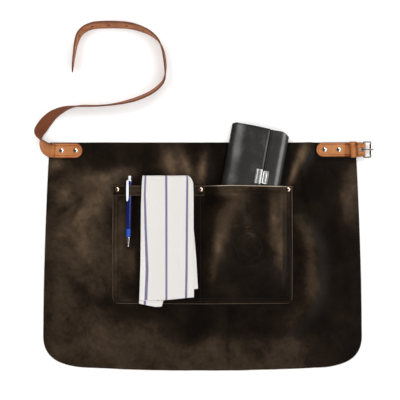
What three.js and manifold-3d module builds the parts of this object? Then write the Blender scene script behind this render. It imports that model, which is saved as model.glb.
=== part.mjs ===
// A leather waist apron laid flat: a dark panel with a folded waist hem, a patch pocket with a towel
// band, a long belt strap riveted on the left and a short buckle tab on the right. In its pockets it
// carries a waiter's wallet, a folded tea towel and a click pen.
// Millimetres. +Z is up from the surface it lies on, +Y points from the hem to the waist, +X to the buckle.
import * as THREE from "three";
import { mergeVertices } from "three/addons/utils/BufferGeometryUtils.js";
import Module from "manifold-3d";

const wasm = await Module();
wasm.setup();

// ---- driving dimensions ----
const GAP = 0.3; // clearance kept between pieces that rest on each other
const LEATHER = 1.8; // thickness of the apron's leather
const HEM_DEPTH = 22; // the waist edge folded to the back
const WAIST_Y = HEM_DEPTH / 2; // the origin is the middle of the hem's back face
const WAIST_HALF = 317;
const HIP_HALF = 330;
const BOTTOM_Y = -461;

const POCKET_HALF = 186;
const POCKET_TOP = -78.4;
const POCKET_BOTTOM = -322;
const POCKET_CORNER = 13;
const POCKET_LEATHER = 1.6;
const DIVIDER_X = -4; // the seam that splits the patch into two pockets
const BAND_WIDTH = 20;

const STRAP_WIDTH = 30;
const STRAP_THICK = 3;
const BELT_Y = -5; // centreline of the belt strap where it is riveted on
const TAB_Y = -3; // centreline of the buckle tab

const RIVET_RADIUS = 4.4;
const POST_RADIUS = 1.8;
const POST_HOLE = POST_RADIUS + GAP;
const BURR_RADIUS = 5;
const BURR_THICK = 0.8;

// heights of the surfaces that things lie on
const PANEL_TOP = LEATHER;
const HEM_LIFT = LEATHER + GAP; // the panel rides this much higher over the folded hem
const WAIST_TOP = PANEL_TOP + HEM_LIFT;
const POCKET_BASE = PANEL_TOP + GAP;
const POCKET_FACE = POCKET_BASE + POCKET_LEATHER;
const BAND_BASE = POCKET_FACE + GAP;
const BAND_THICK = 1.6;

// ---- materials ----
const material = (color, roughness, metalness = 0) =>
  new THREE.MeshStandardMaterial({ color, roughness, metalness });
const darkLeather = material(0x33291f, 0.5);
const tanLeather = material(0xb8744a, 0.55);
const blackLeather = material(0x2c2b2b, 0.35);
const paperCore = material(0x1d1c1c, 0.7);
const nickel = material(0xc9c9c6, 0.22, 1);
const copper = material(0xc99a84, 0.28, 1);
const cotton = material(0xe9e6e2, 0.95);
const whitePlastic = material(0xf0f2f3, 0.3);
const bluePlastic = material(0x1a2a8c, 0.3);
const blueRubber = material(0x1c58c8, 0.6);

// ---- solids: boolean helpers ----
function toSolid(geometry) {
  const bare = geometry.clone();
  bare.deleteAttribute("normal");
  bare.deleteAttribute("uv");
  const merged = mergeVertices(bare, 1e-4);
  return new wasm.Manifold(
    new wasm.Mesh({
      numProp: 3,
      vertProperties: merged.attributes.position.array,
      triVerts: new Uint32Array(merged.index.array),
    }),
  );
}

function toGeometry(solid) {
  const made = solid.getMesh();
  const geometry = new THREE.BufferGeometry();
  geometry.setAttribute("position", new THREE.BufferAttribute(made.vertProperties, 3));
  geometry.setIndex(new THREE.BufferAttribute(made.triVerts, 1));
  geometry.computeVertexNormals();
  return geometry;
}

const cut = (body, ...tools) =>
  toGeometry(tools.reduce((left, tool) => left.subtract(toSolid(tool)), toSolid(body)));
const common = (a, b) => toGeometry(toSolid(a).intersect(toSolid(b)));
const join = (a, b) => toGeometry(toSolid(a).add(toSolid(b)));

// ---- shapes ----
const extrude = (shape, depth, options = {}) =>
  new THREE.ExtrudeGeometry(shape, { depth, bevelEnabled: false, curveSegments: 6, ...options });

// An outline seen from above, raised from z = low to z = high.
const prism = (shape, low, high) => extrude(shape, high - low).translate(0, 0, low);

// A profile drawn as (y, z) and run along x.
const alongX = (shape, from, to) =>
  extrude(shape, to - from).rotateZ(Math.PI / 2).rotateY(Math.PI / 2).translate(from, 0, 0);

// A profile drawn as (x, z) and run along y.
const alongY = (shape, from, to) =>
  extrude(shape, to - from).rotateX(Math.PI / 2).translate(0, to, 0);

const upright = (radius, x, y, low, high, sides = 14) =>
  new THREE.CylinderGeometry(radius, radius, high - low, sides)
    .rotateX(Math.PI / 2)
    .translate(x, y, (low + high) / 2);

function roundedRect(left, bottom, right, top, radius) {
  const shape = new THREE.Shape();
  shape.moveTo(left + radius, bottom);
  shape.lineTo(right - radius, bottom);
  shape.absarc(right - radius, bottom + radius, radius, -Math.PI / 2, 0);
  shape.lineTo(right, top - radius);
  shape.absarc(right - radius, top - radius, radius, 0, Math.PI / 2);
  shape.lineTo(left + radius, top);
  shape.absarc(left + radius, top - radius, radius, Math.PI / 2, Math.PI);
  shape.lineTo(left, bottom + radius);
  shape.absarc(left + radius, bottom + radius, radius, Math.PI, 1.5 * Math.PI);
  return shape;
}

// A strip of even thickness that follows a line of 2-D points.
function stripAlong(points, thickness) {
  const side = (sign) =>
    points.map((point, i) => {
      const before = points[Math.max(i - 1, 0)];
      const after = points[Math.min(i + 1, points.length - 1)];
      const across = new THREE.Vector2(before.y - after.y, after.x - before.x).normalize();
      return point.clone().addScaledVector(across, (sign * thickness) / 2);
    });
  return new THREE.Shape([...side(-1), ...side(1).reverse()]);
}

const smooth = (edge0, edge1, value) => THREE.MathUtils.smoothstep(value, edge0, edge1);

// ---- rivets: a domed cap on a post, and a flat burr let into the leather at the back ----
function rivet(x, y, seat) {
  const profile = [
    [0, 0],
    [POST_RADIUS, 0],
    [POST_RADIUS, seat + GAP],
    [RIVET_RADIUS, seat + GAP],
    [RIVET_RADIUS, seat + GAP + 0.5],
    [RIVET_RADIUS * 0.86, seat + GAP + 1.1],
    [RIVET_RADIUS * 0.5, seat + GAP + 1.6],
    [0, seat + GAP + 1.8],
  ].map(([r, z]) => new THREE.Vector2(r, z));
  return new THREE.LatheGeometry(profile, 14).rotateX(Math.PI / 2).translate(x, y, 0);
}

const burr = (x, y) =>
  cut(
    upright(BURR_RADIUS, x, y, 0, BURR_THICK),
    upright(POST_HOLE, x, y, -1, BURR_THICK + 1),
  );

// What a rivet needs cut in the layer that its burr sits in.
const burrSeat = ([x, y]) => upright(BURR_RADIUS + GAP, x, y, -1, BURR_THICK + GAP);
const postHole = ([x, y]) => upright(POST_HOLE, x, y, -1, 40);

const POCKET_RIVETS = [
  [-177.4, -85.5],
  [DIVIDER_X, -85.5],
  [177.4, -85.5],
];
const BELT_RIVETS = [
  [-292.8, BELT_Y],
  [-263.5, BELT_Y],
];
const TAB_RIVETS = [
  [253, TAB_Y],
  [282.4, TAB_Y],
];
const WAIST_RIVETS = [...BELT_RIVETS, ...TAB_RIVETS];

// ---- the apron's own leather ----
function apronOutline() {
  const shape = new THREE.Shape();
  shape.moveTo(WAIST_HALF, WAIST_Y);
  shape.lineTo(-WAIST_HALF, WAIST_Y);
  shape.quadraticCurveTo(-HIP_HALF + 1, -200, -HIP_HALF, -390);
  shape.bezierCurveTo(-HIP_HALF, -432, -300, -449, -255, -454);
  shape.quadraticCurveTo(-128, BOTTOM_Y, 0, BOTTOM_Y);
  shape.quadraticCurveTo(128, BOTTOM_Y, 255, -454);
  shape.bezierCurveTo(300, -449, HIP_HALF, -432, HIP_HALF, -390);
  shape.quadraticCurveTo(HIP_HALF - 1, -200, WAIST_HALF, WAIST_Y);
  return shape;
}

function apronPanel() {
  const rampStart = -WAIST_Y - 9;
  const rampEnd = -WAIST_Y - 2;
  const side = new THREE.Shape([
    new THREE.Vector2(BOTTOM_Y - 5, 0),
    new THREE.Vector2(rampStart, 0),
    new THREE.Vector2(rampEnd, HEM_LIFT),
    new THREE.Vector2(WAIST_Y + 5, HEM_LIFT),
    new THREE.Vector2(WAIST_Y + 5, WAIST_TOP),
    new THREE.Vector2(rampEnd - 1, WAIST_TOP),
    new THREE.Vector2(rampStart - 1, PANEL_TOP),
    new THREE.Vector2(BOTTOM_Y - 5, PANEL_TOP),
  ]);
  const sheet = common(alongX(side, -340, 340), prism(apronOutline(), -1, 10));
  return cut(
    sheet,
    ...WAIST_RIVETS.map(postHole),
    ...POCKET_RIVETS.map(postHole),
    ...POCKET_RIVETS.map(burrSeat),
  );
}

// The strip of the waist edge that is folded to the back and sewn down.
function waistHem() {
  const strip = common(
    prism(roundedRect(-340, -WAIST_Y, 340, WAIST_Y - GAP, 0.5), 0, LEATHER),
    prism(apronOutline(), -1, 10),
  );
  return cut(strip, ...WAIST_RIVETS.map(postHole), ...WAIST_RIVETS.map(burrSeat));
}

// ---- the wallet's place sets the pocket's bulge ----
const WALLET = {
  top: new THREE.Vector2(121.6, 43.9), // middle of its top edge
  tilt: THREE.MathUtils.degToRad(-10.1),
  length: 190,
  width: 121,
  thick: 16,
  base: WAIST_TOP + GAP,
  flapEdge: 19, // where the flap ends, right of the wallet's middle
};

// How far the pocket leather stands off the panel over the wallet.
function pocketBulge(x, y) {
  const rise = WALLET.base + WALLET.thick + 0.4 - POCKET_BASE;
  const across = smooth(DIVIDER_X + 7, 33, x) * (1 - smooth(162, 172, x));
  const down = smooth(-305, -172, y);
  return rise * across * down;
}

// Where the sheet is divided: closely over the bulge's slopes, widely where it is flat.
const POCKET_COLUMNS = [
  -POCKET_HALF, DIVIDER_X, 3, 7, 11, 15, 19, 23, 28, 33, 98, 162, 164, 166, 168, 170, 172, POCKET_HALF,
];
const POCKET_ROWS = [POCKET_BOTTOM, -305, -285, -265, -245, -225, -205, -188, -172, POCKET_TOP];

function pocketPanel() {
  const sheet = new THREE.BoxGeometry(
    1,
    1,
    POCKET_LEATHER,
    POCKET_COLUMNS.length - 1,
    POCKET_ROWS.length - 1,
    1,
  );
  const place = sheet.attributes.position;
  for (let i = 0; i < place.count; i++) {
    const x = POCKET_COLUMNS[Math.round((place.getX(i) + 0.5) * (POCKET_COLUMNS.length - 1))];
    const y = POCKET_ROWS[Math.round((place.getY(i) + 0.5) * (POCKET_ROWS.length - 1))];
    const z = POCKET_BASE + POCKET_LEATHER / 2 + place.getZ(i) + pocketBulge(x, y);
    place.setXYZ(i, x, y, z);
  }
  const outline = roundedRect(
    -POCKET_HALF,
    POCKET_BOTTOM,
    POCKET_HALF,
    POCKET_TOP + POCKET_CORNER,
    POCKET_CORNER,
  );
  return cut(common(sheet, prism(outline, -1, 40)), ...POCKET_RIVETS.map(postHole));
}

// ---- the band that the pen and the towel are tucked behind ----
const PEN_RADIUS = 5.1;
const PEN_AXIS_Z = BAND_BASE + PEN_RADIUS + 0.6; // its collar clears the waist hem when it slides out
const TOWEL_BACK = { low: WAIST_TOP + GAP, high: 9.6 };

const PEN_BAND_X = -151.5; // where the pen crosses the band
const TOWEL_LIFT = TOWEL_BACK.high + GAP - BAND_BASE;

// Height of the band's middle: flat at its rivets, hugging the pen, and bridging over the towel.
function bandHeight(x) {
  const flat = BAND_BASE + BAND_THICK / 2;
  const radius = PEN_RADIUS + 2 * GAP + BAND_THICK / 2;
  const shoulder = radius * Math.SQRT1_2;
  const aside = Math.abs(x - PEN_BAND_X);
  const overPen =
    PEN_AXIS_Z + (aside < shoulder ? Math.sqrt(radius ** 2 - aside ** 2) : 2 * shoulder - aside);
  const overTowel = flat + TOWEL_LIFT * smooth(-152, -140, x) * (1 - smooth(-17.5, -9, x));
  return Math.max(flat, overPen, overTowel);
}

function towelBand() {
  const left = -POCKET_HALF + 0.5;
  const right = 3;
  const steps = 90;
  const line = [];
  for (let i = 0; i <= steps; i++) {
    const x = THREE.MathUtils.lerp(left, right, i / steps);
    line.push(new THREE.Vector2(x, bandHeight(x)));
  }
  const strip = alongY(stripAlong(line, BAND_THICK), POCKET_TOP - BAND_WIDTH, POCKET_TOP - GAP);
  return cut(strip, postHole(POCKET_RIVETS[0]), postHole(POCKET_RIVETS[1]));
}

// ---- belt strap: flat under its rivets, then rolled up onto its edge in a long S ----
// Each station is x and y of the strap's centre, its roll in degrees and the height of its lower edge.
// Roll 0 is flat with the grain up, 90 stands on its edge, and over 90 leans on so the flesh side shows.
const STRAP_ROUTE = [
  [-249.4, BELT_Y, 0, WAIST_TOP + GAP],
  [-270, BELT_Y, 0, WAIST_TOP + GAP],
  [-290, BELT_Y, 0, WAIST_TOP + GAP],
  [-304, BELT_Y, 4, WAIST_TOP + GAP],
  [-314, -4, 22, WAIST_TOP + GAP],
  [-322.5, 0.5, 46, 4.3],
  [-329, 7.2, 70, 3.5],
  [-334.2, 15, 92, 2],
  [-338.4, 23.2, 114, 0.9],
  [-339, 31, 131, GAP],
  [-333.7, 41.3, 138, GAP],
  [-323.9, 54.6, 136, GAP],
  [-311.5, 67.4, 125, GAP],
  [-298, 76, 114, GAP],
  [-284.1, 82, 103, GAP],
  [-272, 85.2, 93, GAP],
  [-250, 87.4, 85, GAP],
  [-221, 87.6, 86, GAP],
  [-196.5, 89.2, 86, GAP],
  [-173.5, 92.6, 83, GAP],
  [-159.6, 95.5, 80, GAP],
  [-136.5, 101.9, 77, GAP],
  [-108.9, 114.1, 77, GAP],
  [-91, 127, 78, GAP],
  [-81, 139.4, 82, GAP],
  [-77.4, 151.9, 88, GAP],
  [-77, 164.5, 93, GAP],
  [-78.6, 184.3, 96, GAP],
  [-83.2, 206, 94, GAP],
  [-91.5, 223, 87, GAP],
  [-106.6, 236.8, 79, GAP],
  [-127.4, 246.9, 73, GAP],
  [-150.4, 253.2, 69, GAP],
  [-174, 255.2, 67, GAP],
  [-200, 255.4, 66, GAP],
  [-226, 253.4, 67, GAP],
  [-243, 247, 70, GAP],
  [-254.8, 235.6, 73, GAP],
  [-261.6, 217, 80, GAP],
  [-265.2, 195.7, 85, GAP],
  [-268.1, 172.6, 88, GAP],
  [-269.3, 156.9, 90, GAP],
];
const HOLE_PITCH = 36;
const HOLE_COUNT = 5;
const FIRST_HOLE = 76; // from the strap's tip

function strapCentre([x, y, roll, lift]) {
  const angle = THREE.MathUtils.degToRad(roll);
  const half = (STRAP_WIDTH * Math.sin(angle) + STRAP_THICK * Math.abs(Math.cos(angle))) / 2;
  return new THREE.Vector3(x, y, lift + half);
}

const strapLine = new THREE.CatmullRomCurve3(STRAP_ROUTE.map(strapCentre), false, "centripetal");
const STRAP_LENGTH = strapLine.getLength();

// The strap's frame at a share of its length: centre, direction, the way across it and its normal.
function strapFrame(share) {
  const t = strapLine.getUtoTmapping(share);
  const at = t * (STRAP_ROUTE.length - 1);
  const i = Math.min(Math.floor(at), STRAP_ROUTE.length - 2);
  const roll = THREE.MathUtils.degToRad(
    THREE.MathUtils.lerp(STRAP_ROUTE[i][2], STRAP_ROUTE[i + 1][2], at - i),
  );
  const along = strapLine.getTangent(t);
  const level = new THREE.Vector3(along.y, -along.x, 0).normalize();
  const raised = new THREE.Vector3().crossVectors(level, along);
  const across = level.multiplyScalar(Math.cos(roll)).addScaledVector(raised, Math.sin(roll));
  const normal = new THREE.Vector3().crossVectors(along, across);
  return { centre: strapLine.getPoint(t), across, normal };
}

// The flat outline: a round riveted end and a blunt pointed tip, x running along the strap.
function strapOutline() {
  const half = STRAP_WIDTH / 2;
  const shape = new THREE.Shape();
  shape.moveTo(half, -half);
  shape.lineTo(STRAP_LENGTH - 26, -half);
  shape.quadraticCurveTo(STRAP_LENGTH - 4, -half + 2, STRAP_LENGTH, 0);
  shape.quadraticCurveTo(STRAP_LENGTH - 4, half - 2, STRAP_LENGTH - 26, half);
  shape.lineTo(half, half);
  shape.absarc(half, 0, half, Math.PI / 2, 1.5 * Math.PI);
  return shape;
}

function beltStrap() {
  const blank = new THREE.BoxGeometry(STRAP_LENGTH, STRAP_WIDTH, STRAP_THICK, 90, 2, 1);
  blank.translate(STRAP_LENGTH / 2, 0, 0);
  const holes = Array.from({ length: HOLE_COUNT }, (_, i) =>
    upright(2, STRAP_LENGTH - FIRST_HOLE - i * HOLE_PITCH, 0, -5, 5, 8),
  );
  const posts = BELT_RIVETS.map(([x]) =>
    upright(POST_HOLE, STRAP_ROUTE[0][0] - x, 0, -5, 5),
  );
  const flat = cut(common(blank, prism(strapOutline(), -5, 5)), ...holes, ...posts);
  const place = flat.attributes.position;
  for (let i = 0; i < place.count; i++) {
    const { centre, across, normal } = strapFrame(
      THREE.MathUtils.clamp(place.getX(i) / STRAP_LENGTH, 0, 1),
    );
    const point = centre
      .addScaledVector(across, place.getY(i))
      .addScaledVector(normal, place.getZ(i));
    place.setXYZ(i, point.x, point.y, point.z);
  }
  return flat;
}

// ---- buckle tab: a strip folded round the buckle's bar, both layers riveted to the panel ----
const TAB_WIDTH = 29;
const TAB_LEFT = 236;
const TAB_THICK = 2.2;
const KEEPER_WALL = 1.5;
const KEEPER_LENGTH = 12;
const KEEPER_X = 313; // middle of the keeper loop
const BAR = new THREE.Vector2(332.5, WAIST_TOP + 8.1); // centre of the buckle's bar as (x, z)
const FOLD_RADIUS = 4.1; // middle of the leather round the bar

function tabProfile(start) {
  const lower = WAIST_TOP + GAP + TAB_THICK / 2;
  const lift = KEEPER_WALL + 2 * GAP;
  const points = [];
  const upperAt = (x) => lower + TAB_THICK + GAP + lift * smooth(290, 302, x);
  const lowerAt = (x) => lower + lift * smooth(290, 302, x);
  for (let x = start; x <= 318; x += x < 288 ? 24 : 3) points.push(new THREE.Vector2(x, lowerAt(x)));
  const bend = Math.PI * 0.84;
  for (let i = 0; i <= 14; i++) {
    const angle = THREE.MathUtils.lerp(-bend, bend, i / 14);
    points.push(
      new THREE.Vector2(
        BAR.x + FOLD_RADIUS * Math.cos(angle),
        BAR.y + FOLD_RADIUS * Math.sin(angle),
      ),
    );
  }
  for (let x = 318; x > TAB_LEFT; x -= x > 288 ? 3 : 24) points.push(new THREE.Vector2(x, upperAt(x)));
  points.push(new THREE.Vector2(TAB_LEFT, upperAt(TAB_LEFT)));
  return stripAlong(points, TAB_THICK);
}

function buckleTab() {
  const half = TAB_WIDTH / 2;
  const strip = alongY(tabProfile(TAB_LEFT + 4), TAB_Y - half, TAB_Y + half);
  const outline = new THREE.Shape();
  outline.moveTo(TAB_LEFT + half, TAB_Y - half);
  outline.lineTo(328, TAB_Y - half);
  outline.lineTo(334, TAB_Y - half + 1.6);
  outline.lineTo(345, TAB_Y - half + 1.6);
  outline.lineTo(345, TAB_Y + half - 1.6);
  outline.lineTo(334, TAB_Y + half - 1.6);
  outline.lineTo(328, TAB_Y + half);
  outline.lineTo(TAB_LEFT + half, TAB_Y + half);
  outline.absarc(TAB_LEFT + half, TAB_Y, half, Math.PI / 2, 1.5 * Math.PI);
  const slot = prism(roundedRect(324, TAB_Y - 2.6, 345, TAB_Y + 2.6, 2.4), -5, 40);
  return cut(common(strip, prism(outline, -5, 40)), slot, ...TAB_RIVETS.map(postHole));
}

const BELT_SEAT = WAIST_TOP + GAP + STRAP_THICK + 0.1; // top of the strap under its rivets
const TAB_SEAT = WAIST_TOP + 2 * GAP + 2 * TAB_THICK; // top of both layers under the rivets

// A leather loop that slides along the tab and takes the belt's tip.
function keeperLoop() {
  const inner = TAB_WIDTH / 2 + 0.8;
  const low = WAIST_TOP + GAP;
  const high = low + KEEPER_WALL + GAP + 2 * TAB_THICK + GAP + 5.2 + KEEPER_WALL;
  const ring = roundedRect(-inner - KEEPER_WALL, low, inner + KEEPER_WALL, high, 2.4);
  ring.holes.push(roundedRect(-inner, low + KEEPER_WALL, inner, high - KEEPER_WALL, 1));
  const half = KEEPER_LENGTH / 2;
  return alongX(ring, KEEPER_X - half, KEEPER_X + half).translate(0, TAB_Y, 0);
}

// ---- buckle: a cast frame, a roller on its far bar, and a prong that hinges on the near bar ----
const FRAME_BAR = 3.4; // width and thickness of the cast frame
const FRAME_LENGTH = 16.4; // bar to bar
const FRAME_HALF = 17.6;
const BEVEL = 0.9;
const ROLLER = { inner: 2.7, outer: 3.5, half: 12.2 };

function buckleFrame() {
  const bar = FRAME_BAR - 2 * BEVEL;
  const left = BAR.x - bar / 2;
  const right = BAR.x + FRAME_LENGTH + bar / 2;
  const half = FRAME_HALF - BEVEL;
  const ring = roundedRect(left, TAB_Y - half, right, TAB_Y + half, 3.4);
  ring.holes.push(roundedRect(left + bar, TAB_Y - half + bar, right - bar, TAB_Y + half - bar, 2));
  return extrude(ring, bar, {
    bevelEnabled: true,
    bevelThickness: BEVEL,
    bevelSize: BEVEL,
    bevelSegments: 2,
    curveSegments: 5,
  }).translate(0, 0, BAR.y - bar / 2);
}

function buckleRoller() {
  const wall = new THREE.Shape().absarc(0, 0, ROLLER.outer, 0, 2 * Math.PI);
  wall.holes.push(new THREE.Path().absarc(0, 0, ROLLER.inner, 0, 2 * Math.PI));
  return alongY(wall, TAB_Y - ROLLER.half, TAB_Y + ROLLER.half).translate(
    BAR.x + FRAME_LENGTH,
    0,
    BAR.y,
  );
}

function buckleProng() {
  const eye = 2.7;
  const rod = 1.7;
  const tip = BAR.x + FRAME_LENGTH + 5;
  const rest = BAR.y + ROLLER.outer + GAP;
  const shape = new THREE.Shape();
  shape.absarc(BAR.x, BAR.y, eye + rod, Math.PI * 0.42, 2.2 * Math.PI);
  shape.lineTo(BAR.x + 8, rest);
  shape.lineTo(tip - 0.8, rest);
  shape.quadraticCurveTo(tip + 0.4, rest + 0.5, tip - 0.6, rest + 1.1);
  shape.lineTo(BAR.x + 9, rest + rod);
  shape.quadraticCurveTo(BAR.x + 4, rest + rod + 0.2, BAR.x + 1.1, BAR.y + eye + rod);
  shape.holes.push(new THREE.Path().absarc(BAR.x, BAR.y, eye, 0, 2 * Math.PI));
  return alongY(shape, TAB_Y - 1.7, TAB_Y + 1.7);
}

// ---- click pen, drawn along +Y from its tip, then laid in its place ----
const PEN = { tip: new THREE.Vector2(-154.2, -204.4), tilt: -0.0225, clipTurn: -24 };

const lathe = (profile, sides = 16) =>
  new THREE.LatheGeometry(
    profile.map(([r, y]) => new THREE.Vector2(r, y)),
    sides,
  );

const penNose = () =>
  lathe([
    [1.5, 0],
    [1.8, 0.3],
    [3.7, 19],
    [3.4, 20],
    [2, 20],
    [1.5, 3],
    [1.5, 0],
  ]);

const penGrip = () =>
  lathe([
    [2.1, 20.3],
    [4, 20.3],
    [4.4, 22],
    [4.9, 37],
    [2.8, 37],
    [2.1, 20.3],
  ]);

const penBarrel = () =>
  lathe([
    [2.8, 37.3],
    [PEN_RADIUS - 0.1, 37.3],
    [PEN_RADIUS, 40],
    [PEN_RADIUS, 127],
    [3.2, 127],
    [2.8, 37.3],
  ]);

const penCollar = () =>
  lathe([
    [3.2, 127.3],
    [PEN_RADIUS, 127.3],
    [5.5, 128.5],
    [5.5, 134],
    [4.6, 136],
    [3.2, 136],
    [3.2, 127.3],
  ]);

const penButton = () =>
  lathe([
    [0, 128],
    [2.9, 128],
    [2.9, 145],
    [2.2, 147],
    [0, 147],
  ]);

// The refill's point is drawn back inside the nose until the button is pressed.
const penRefill = () =>
  lathe([
    [0, 0.6],
    [0.35, 0.6],
    [1.15, 4],
    [1.15, 26],
    [1.6, 27],
    [1.6, 127.6],
    [0, 127.6],
  ]);

// The clip stands off the barrel so that the band fits under it.
function penClip() {
  const over = PEN_RADIUS + BAND_THICK + 4 * GAP;
  const side = new THREE.Shape();
  side.moveTo(136.3, 3.9);
  side.lineTo(137.5, 3.9);
  side.quadraticCurveTo(138.2, over + 2.2, 132, over + 2);
  side.lineTo(100, over + 1.3);
  side.quadraticCurveTo(95, over + 0.9, 94.6, over + 0.2);
  side.quadraticCurveTo(96.5, over - 0.5, 100, over);
  side.lineTo(130, over + 0.4);
  side.quadraticCurveTo(136.2, over + 0.4, 136.3, 3.9);
  const blade = alongX(side, -2.9, 2.9);
  const outline = new THREE.Shape();
  outline.moveTo(-1.2, 94);
  outline.quadraticCurveTo(-2.9, 108, -2.6, 120);
  outline.lineTo(-2.2, 139);
  outline.lineTo(2.2, 139);
  outline.lineTo(2.6, 120);
  outline.quadraticCurveTo(2.9, 108, 1.2, 94);
  const ring = lathe([
    [3.2, 136.3],
    [4.6, 136.3],
    [4.6, 137.5],
    [3.2, 137.5],
    [3.2, 136.3],
  ]);
  const turn = THREE.MathUtils.degToRad(PEN.clipTurn); // it sits towards the pen's left
  return join(common(blade, prism(outline, -5, 30)), ring).rotateY(turn);
}

// ---- towel: one slab behind the band and one in front, joined over its top edge ----
const TOWEL = { top: -57.5, bottom: -320, left: -125, right: -18.5 };

function towel() {
  const frontLow = TOWEL_BACK.high + 2 * GAP + BAND_THICK + 0.2;
  const frontHigh = frontLow + 6;
  const fold = POCKET_TOP + 1.2;
  const side = new THREE.Shape();
  side.moveTo(TOWEL.bottom, TOWEL_BACK.low);
  side.lineTo(TOWEL.top - 6, TOWEL_BACK.low);
  side.quadraticCurveTo(TOWEL.top, TOWEL_BACK.low, TOWEL.top, 9.5);
  side.quadraticCurveTo(TOWEL.top, frontHigh, TOWEL.top - 8, frontHigh);
  side.lineTo(TOWEL.bottom, frontHigh);
  side.lineTo(TOWEL.bottom, frontLow);
  side.lineTo(fold, frontLow);
  side.lineTo(fold, TOWEL_BACK.high);
  side.lineTo(TOWEL.bottom, TOWEL_BACK.high);
  const outline = new THREE.Shape();
  outline.moveTo(TOWEL.left, TOWEL.top);
  outline.lineTo(TOWEL.left - 3.5, TOWEL.bottom);
  outline.lineTo(TOWEL.right, TOWEL.bottom);
  outline.lineTo(TOWEL.right - 2.5, TOWEL.top);
  return common(alongX(side, -150, 0), prism(outline, -1, 40));
}

// ---- wallet, drawn with its top edge on y = 0 and its length running to -Y, then tilted ----
const WALLET_LEATHER = 1.8;

// The wallet's rounded section, from one point on its top face round to another.
function walletLine(inset, from, to) {
  const half = WALLET.width / 2 - inset;
  const r = WALLET.thick / 2 - inset;
  const middle = WALLET.base + WALLET.thick / 2;
  const points = [new THREE.Vector2(from, middle + r)];
  const turn = (x, start, end) => {
    for (let i = 0; i <= 8; i++) {
      const angle = THREE.MathUtils.lerp(start, end, i / 8);
      points.push(new THREE.Vector2(x + r * Math.cos(angle), middle + r * Math.sin(angle)));
    }
  };
  turn(half - r, Math.PI / 2, -Math.PI / 2);
  turn(-half + r, -Math.PI / 2, -1.5 * Math.PI);
  points.push(new THREE.Vector2(to, middle + r));
  return points;
}

// One hide wrapped round the wallet, slit where the flap ends.
function walletWrap() {
  const slit = 2.5;
  const line = walletLine(WALLET_LEATHER / 2, WALLET.flapEdge + slit, WALLET.flapEdge);
  return alongY(stripAlong(line, WALLET_LEATHER), -WALLET.length, 0);
}

function walletCore() {
  const block = new THREE.Shape(walletLine(WALLET_LEATHER + GAP, 0, 0));
  return alongY(block, -WALLET.length, -5);
}

const CLASP = {
  low: -115,
  high: -88,
  seat: WALLET.base + WALLET.thick + GAP,
  thick: 1.6,
  rim: 2.6, // round the plate's raised middle
  plateWidth: 12,
  haspLeft: 5,
  beside: 0.4, // from the hasp's lip to the flap's edge
};

function claspPlate() {
  const left = WALLET.flapEdge + 1.3;
  const right = left + CLASP.plateWidth;
  const rim = CLASP.rim;
  const plate = prism(
    roundedRect(left, CLASP.low, right, CLASP.high, 2),
    CLASP.seat,
    CLASP.seat + CLASP.thick,
  );
  const knob = prism(
    roundedRect(left + rim, CLASP.low + rim, right - rim, CLASP.high - rim, 2),
    CLASP.seat + CLASP.thick / 2,
    CLASP.seat + CLASP.thick + 0.9,
  );
  return join(plate, knob);
}

function claspHasp() {
  const left = CLASP.haspLeft;
  const right = WALLET.flapEdge - CLASP.beside;
  const side = new THREE.Shape();
  side.moveTo(left, CLASP.seat);
  side.lineTo(right, CLASP.seat);
  side.lineTo(right, CLASP.seat + 2.6);
  side.quadraticCurveTo(right - 2.5, CLASP.seat + 3.6, right - 5, CLASP.seat + 2.2);
  side.lineTo(left + 0.6, CLASP.seat + 1.4);
  side.quadraticCurveTo(left, CLASP.seat + 1, left, CLASP.seat);
  return alongY(side, CLASP.low - 1, CLASP.high + 1);
}

// ---- assembly ----
const group = new THREE.Group();

function add(name, geometry, finish, parent = group) {
  const mesh = new THREE.Mesh(geometry, finish);
  mesh.name = name;
  parent.add(mesh);
  return mesh;
}

add("apron_panel", apronPanel(), darkLeather);
add("waist_hem", waistHem(), darkLeather);
add("pocket_panel", pocketPanel(), darkLeather);
add("towel_band", towelBand(), darkLeather);

const bandSeat = BAND_BASE + BAND_THICK;
const rivetSets = [
  ["pocket_rivet", POCKET_RIVETS, [bandSeat, bandSeat, POCKET_FACE], copper],
  ["belt_rivet", BELT_RIVETS, [BELT_SEAT, BELT_SEAT], nickel],
  ["tab_rivet", TAB_RIVETS, [TAB_SEAT, TAB_SEAT], nickel],
];
for (const [name, places, seats, finish] of rivetSets) {
  places.forEach(([x, y], i) => {
    add(`${name}_${i + 1}`, rivet(x, y, seats[i]), finish);
    add(`${name}_burr_${i + 1}`, burr(x, y), finish);
  });
}

add("belt_strap", beltStrap(), tanLeather);
add("buckle_tab", buckleTab(), tanLeather);
add("keeper_loop", keeperLoop(), tanLeather);
add("buckle_frame", buckleFrame(), nickel);
add("buckle_roller", buckleRoller(), nickel);
add("buckle_prong", buckleProng(), nickel);

const pen = new THREE.Group();
pen.position.set(PEN.tip.x, PEN.tip.y, PEN_AXIS_Z);
pen.rotation.z = PEN.tilt;
group.add(pen);
add("pen_nose", penNose(), nickel, pen);
add("pen_grip", penGrip(), blueRubber, pen);
add("pen_barrel", penBarrel(), bluePlastic, pen);
add("pen_collar", penCollar(), bluePlastic, pen);
add("pen_button", penButton(), whitePlastic, pen);
add("pen_refill", penRefill(), nickel, pen);
add("pen_clip", penClip(), whitePlastic, pen);

add("towel", towel(), cotton);

const wallet = new THREE.Group();
wallet.position.set(WALLET.top.x, WALLET.top.y, 0);
wallet.rotation.z = WALLET.tilt;
group.add(wallet);
add("wallet_wrap", walletWrap(), blackLeather, wallet);
add("wallet_core", walletCore(), paperCore, wallet);
add("wallet_clasp_plate", claspPlate(), nickel, wallet);
add("wallet_clasp_hasp", claspHasp(), nickel, wallet);

export default group;
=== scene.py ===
import math

import bpy
import numpy as np
from mathutils import Matrix, Vector


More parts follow.
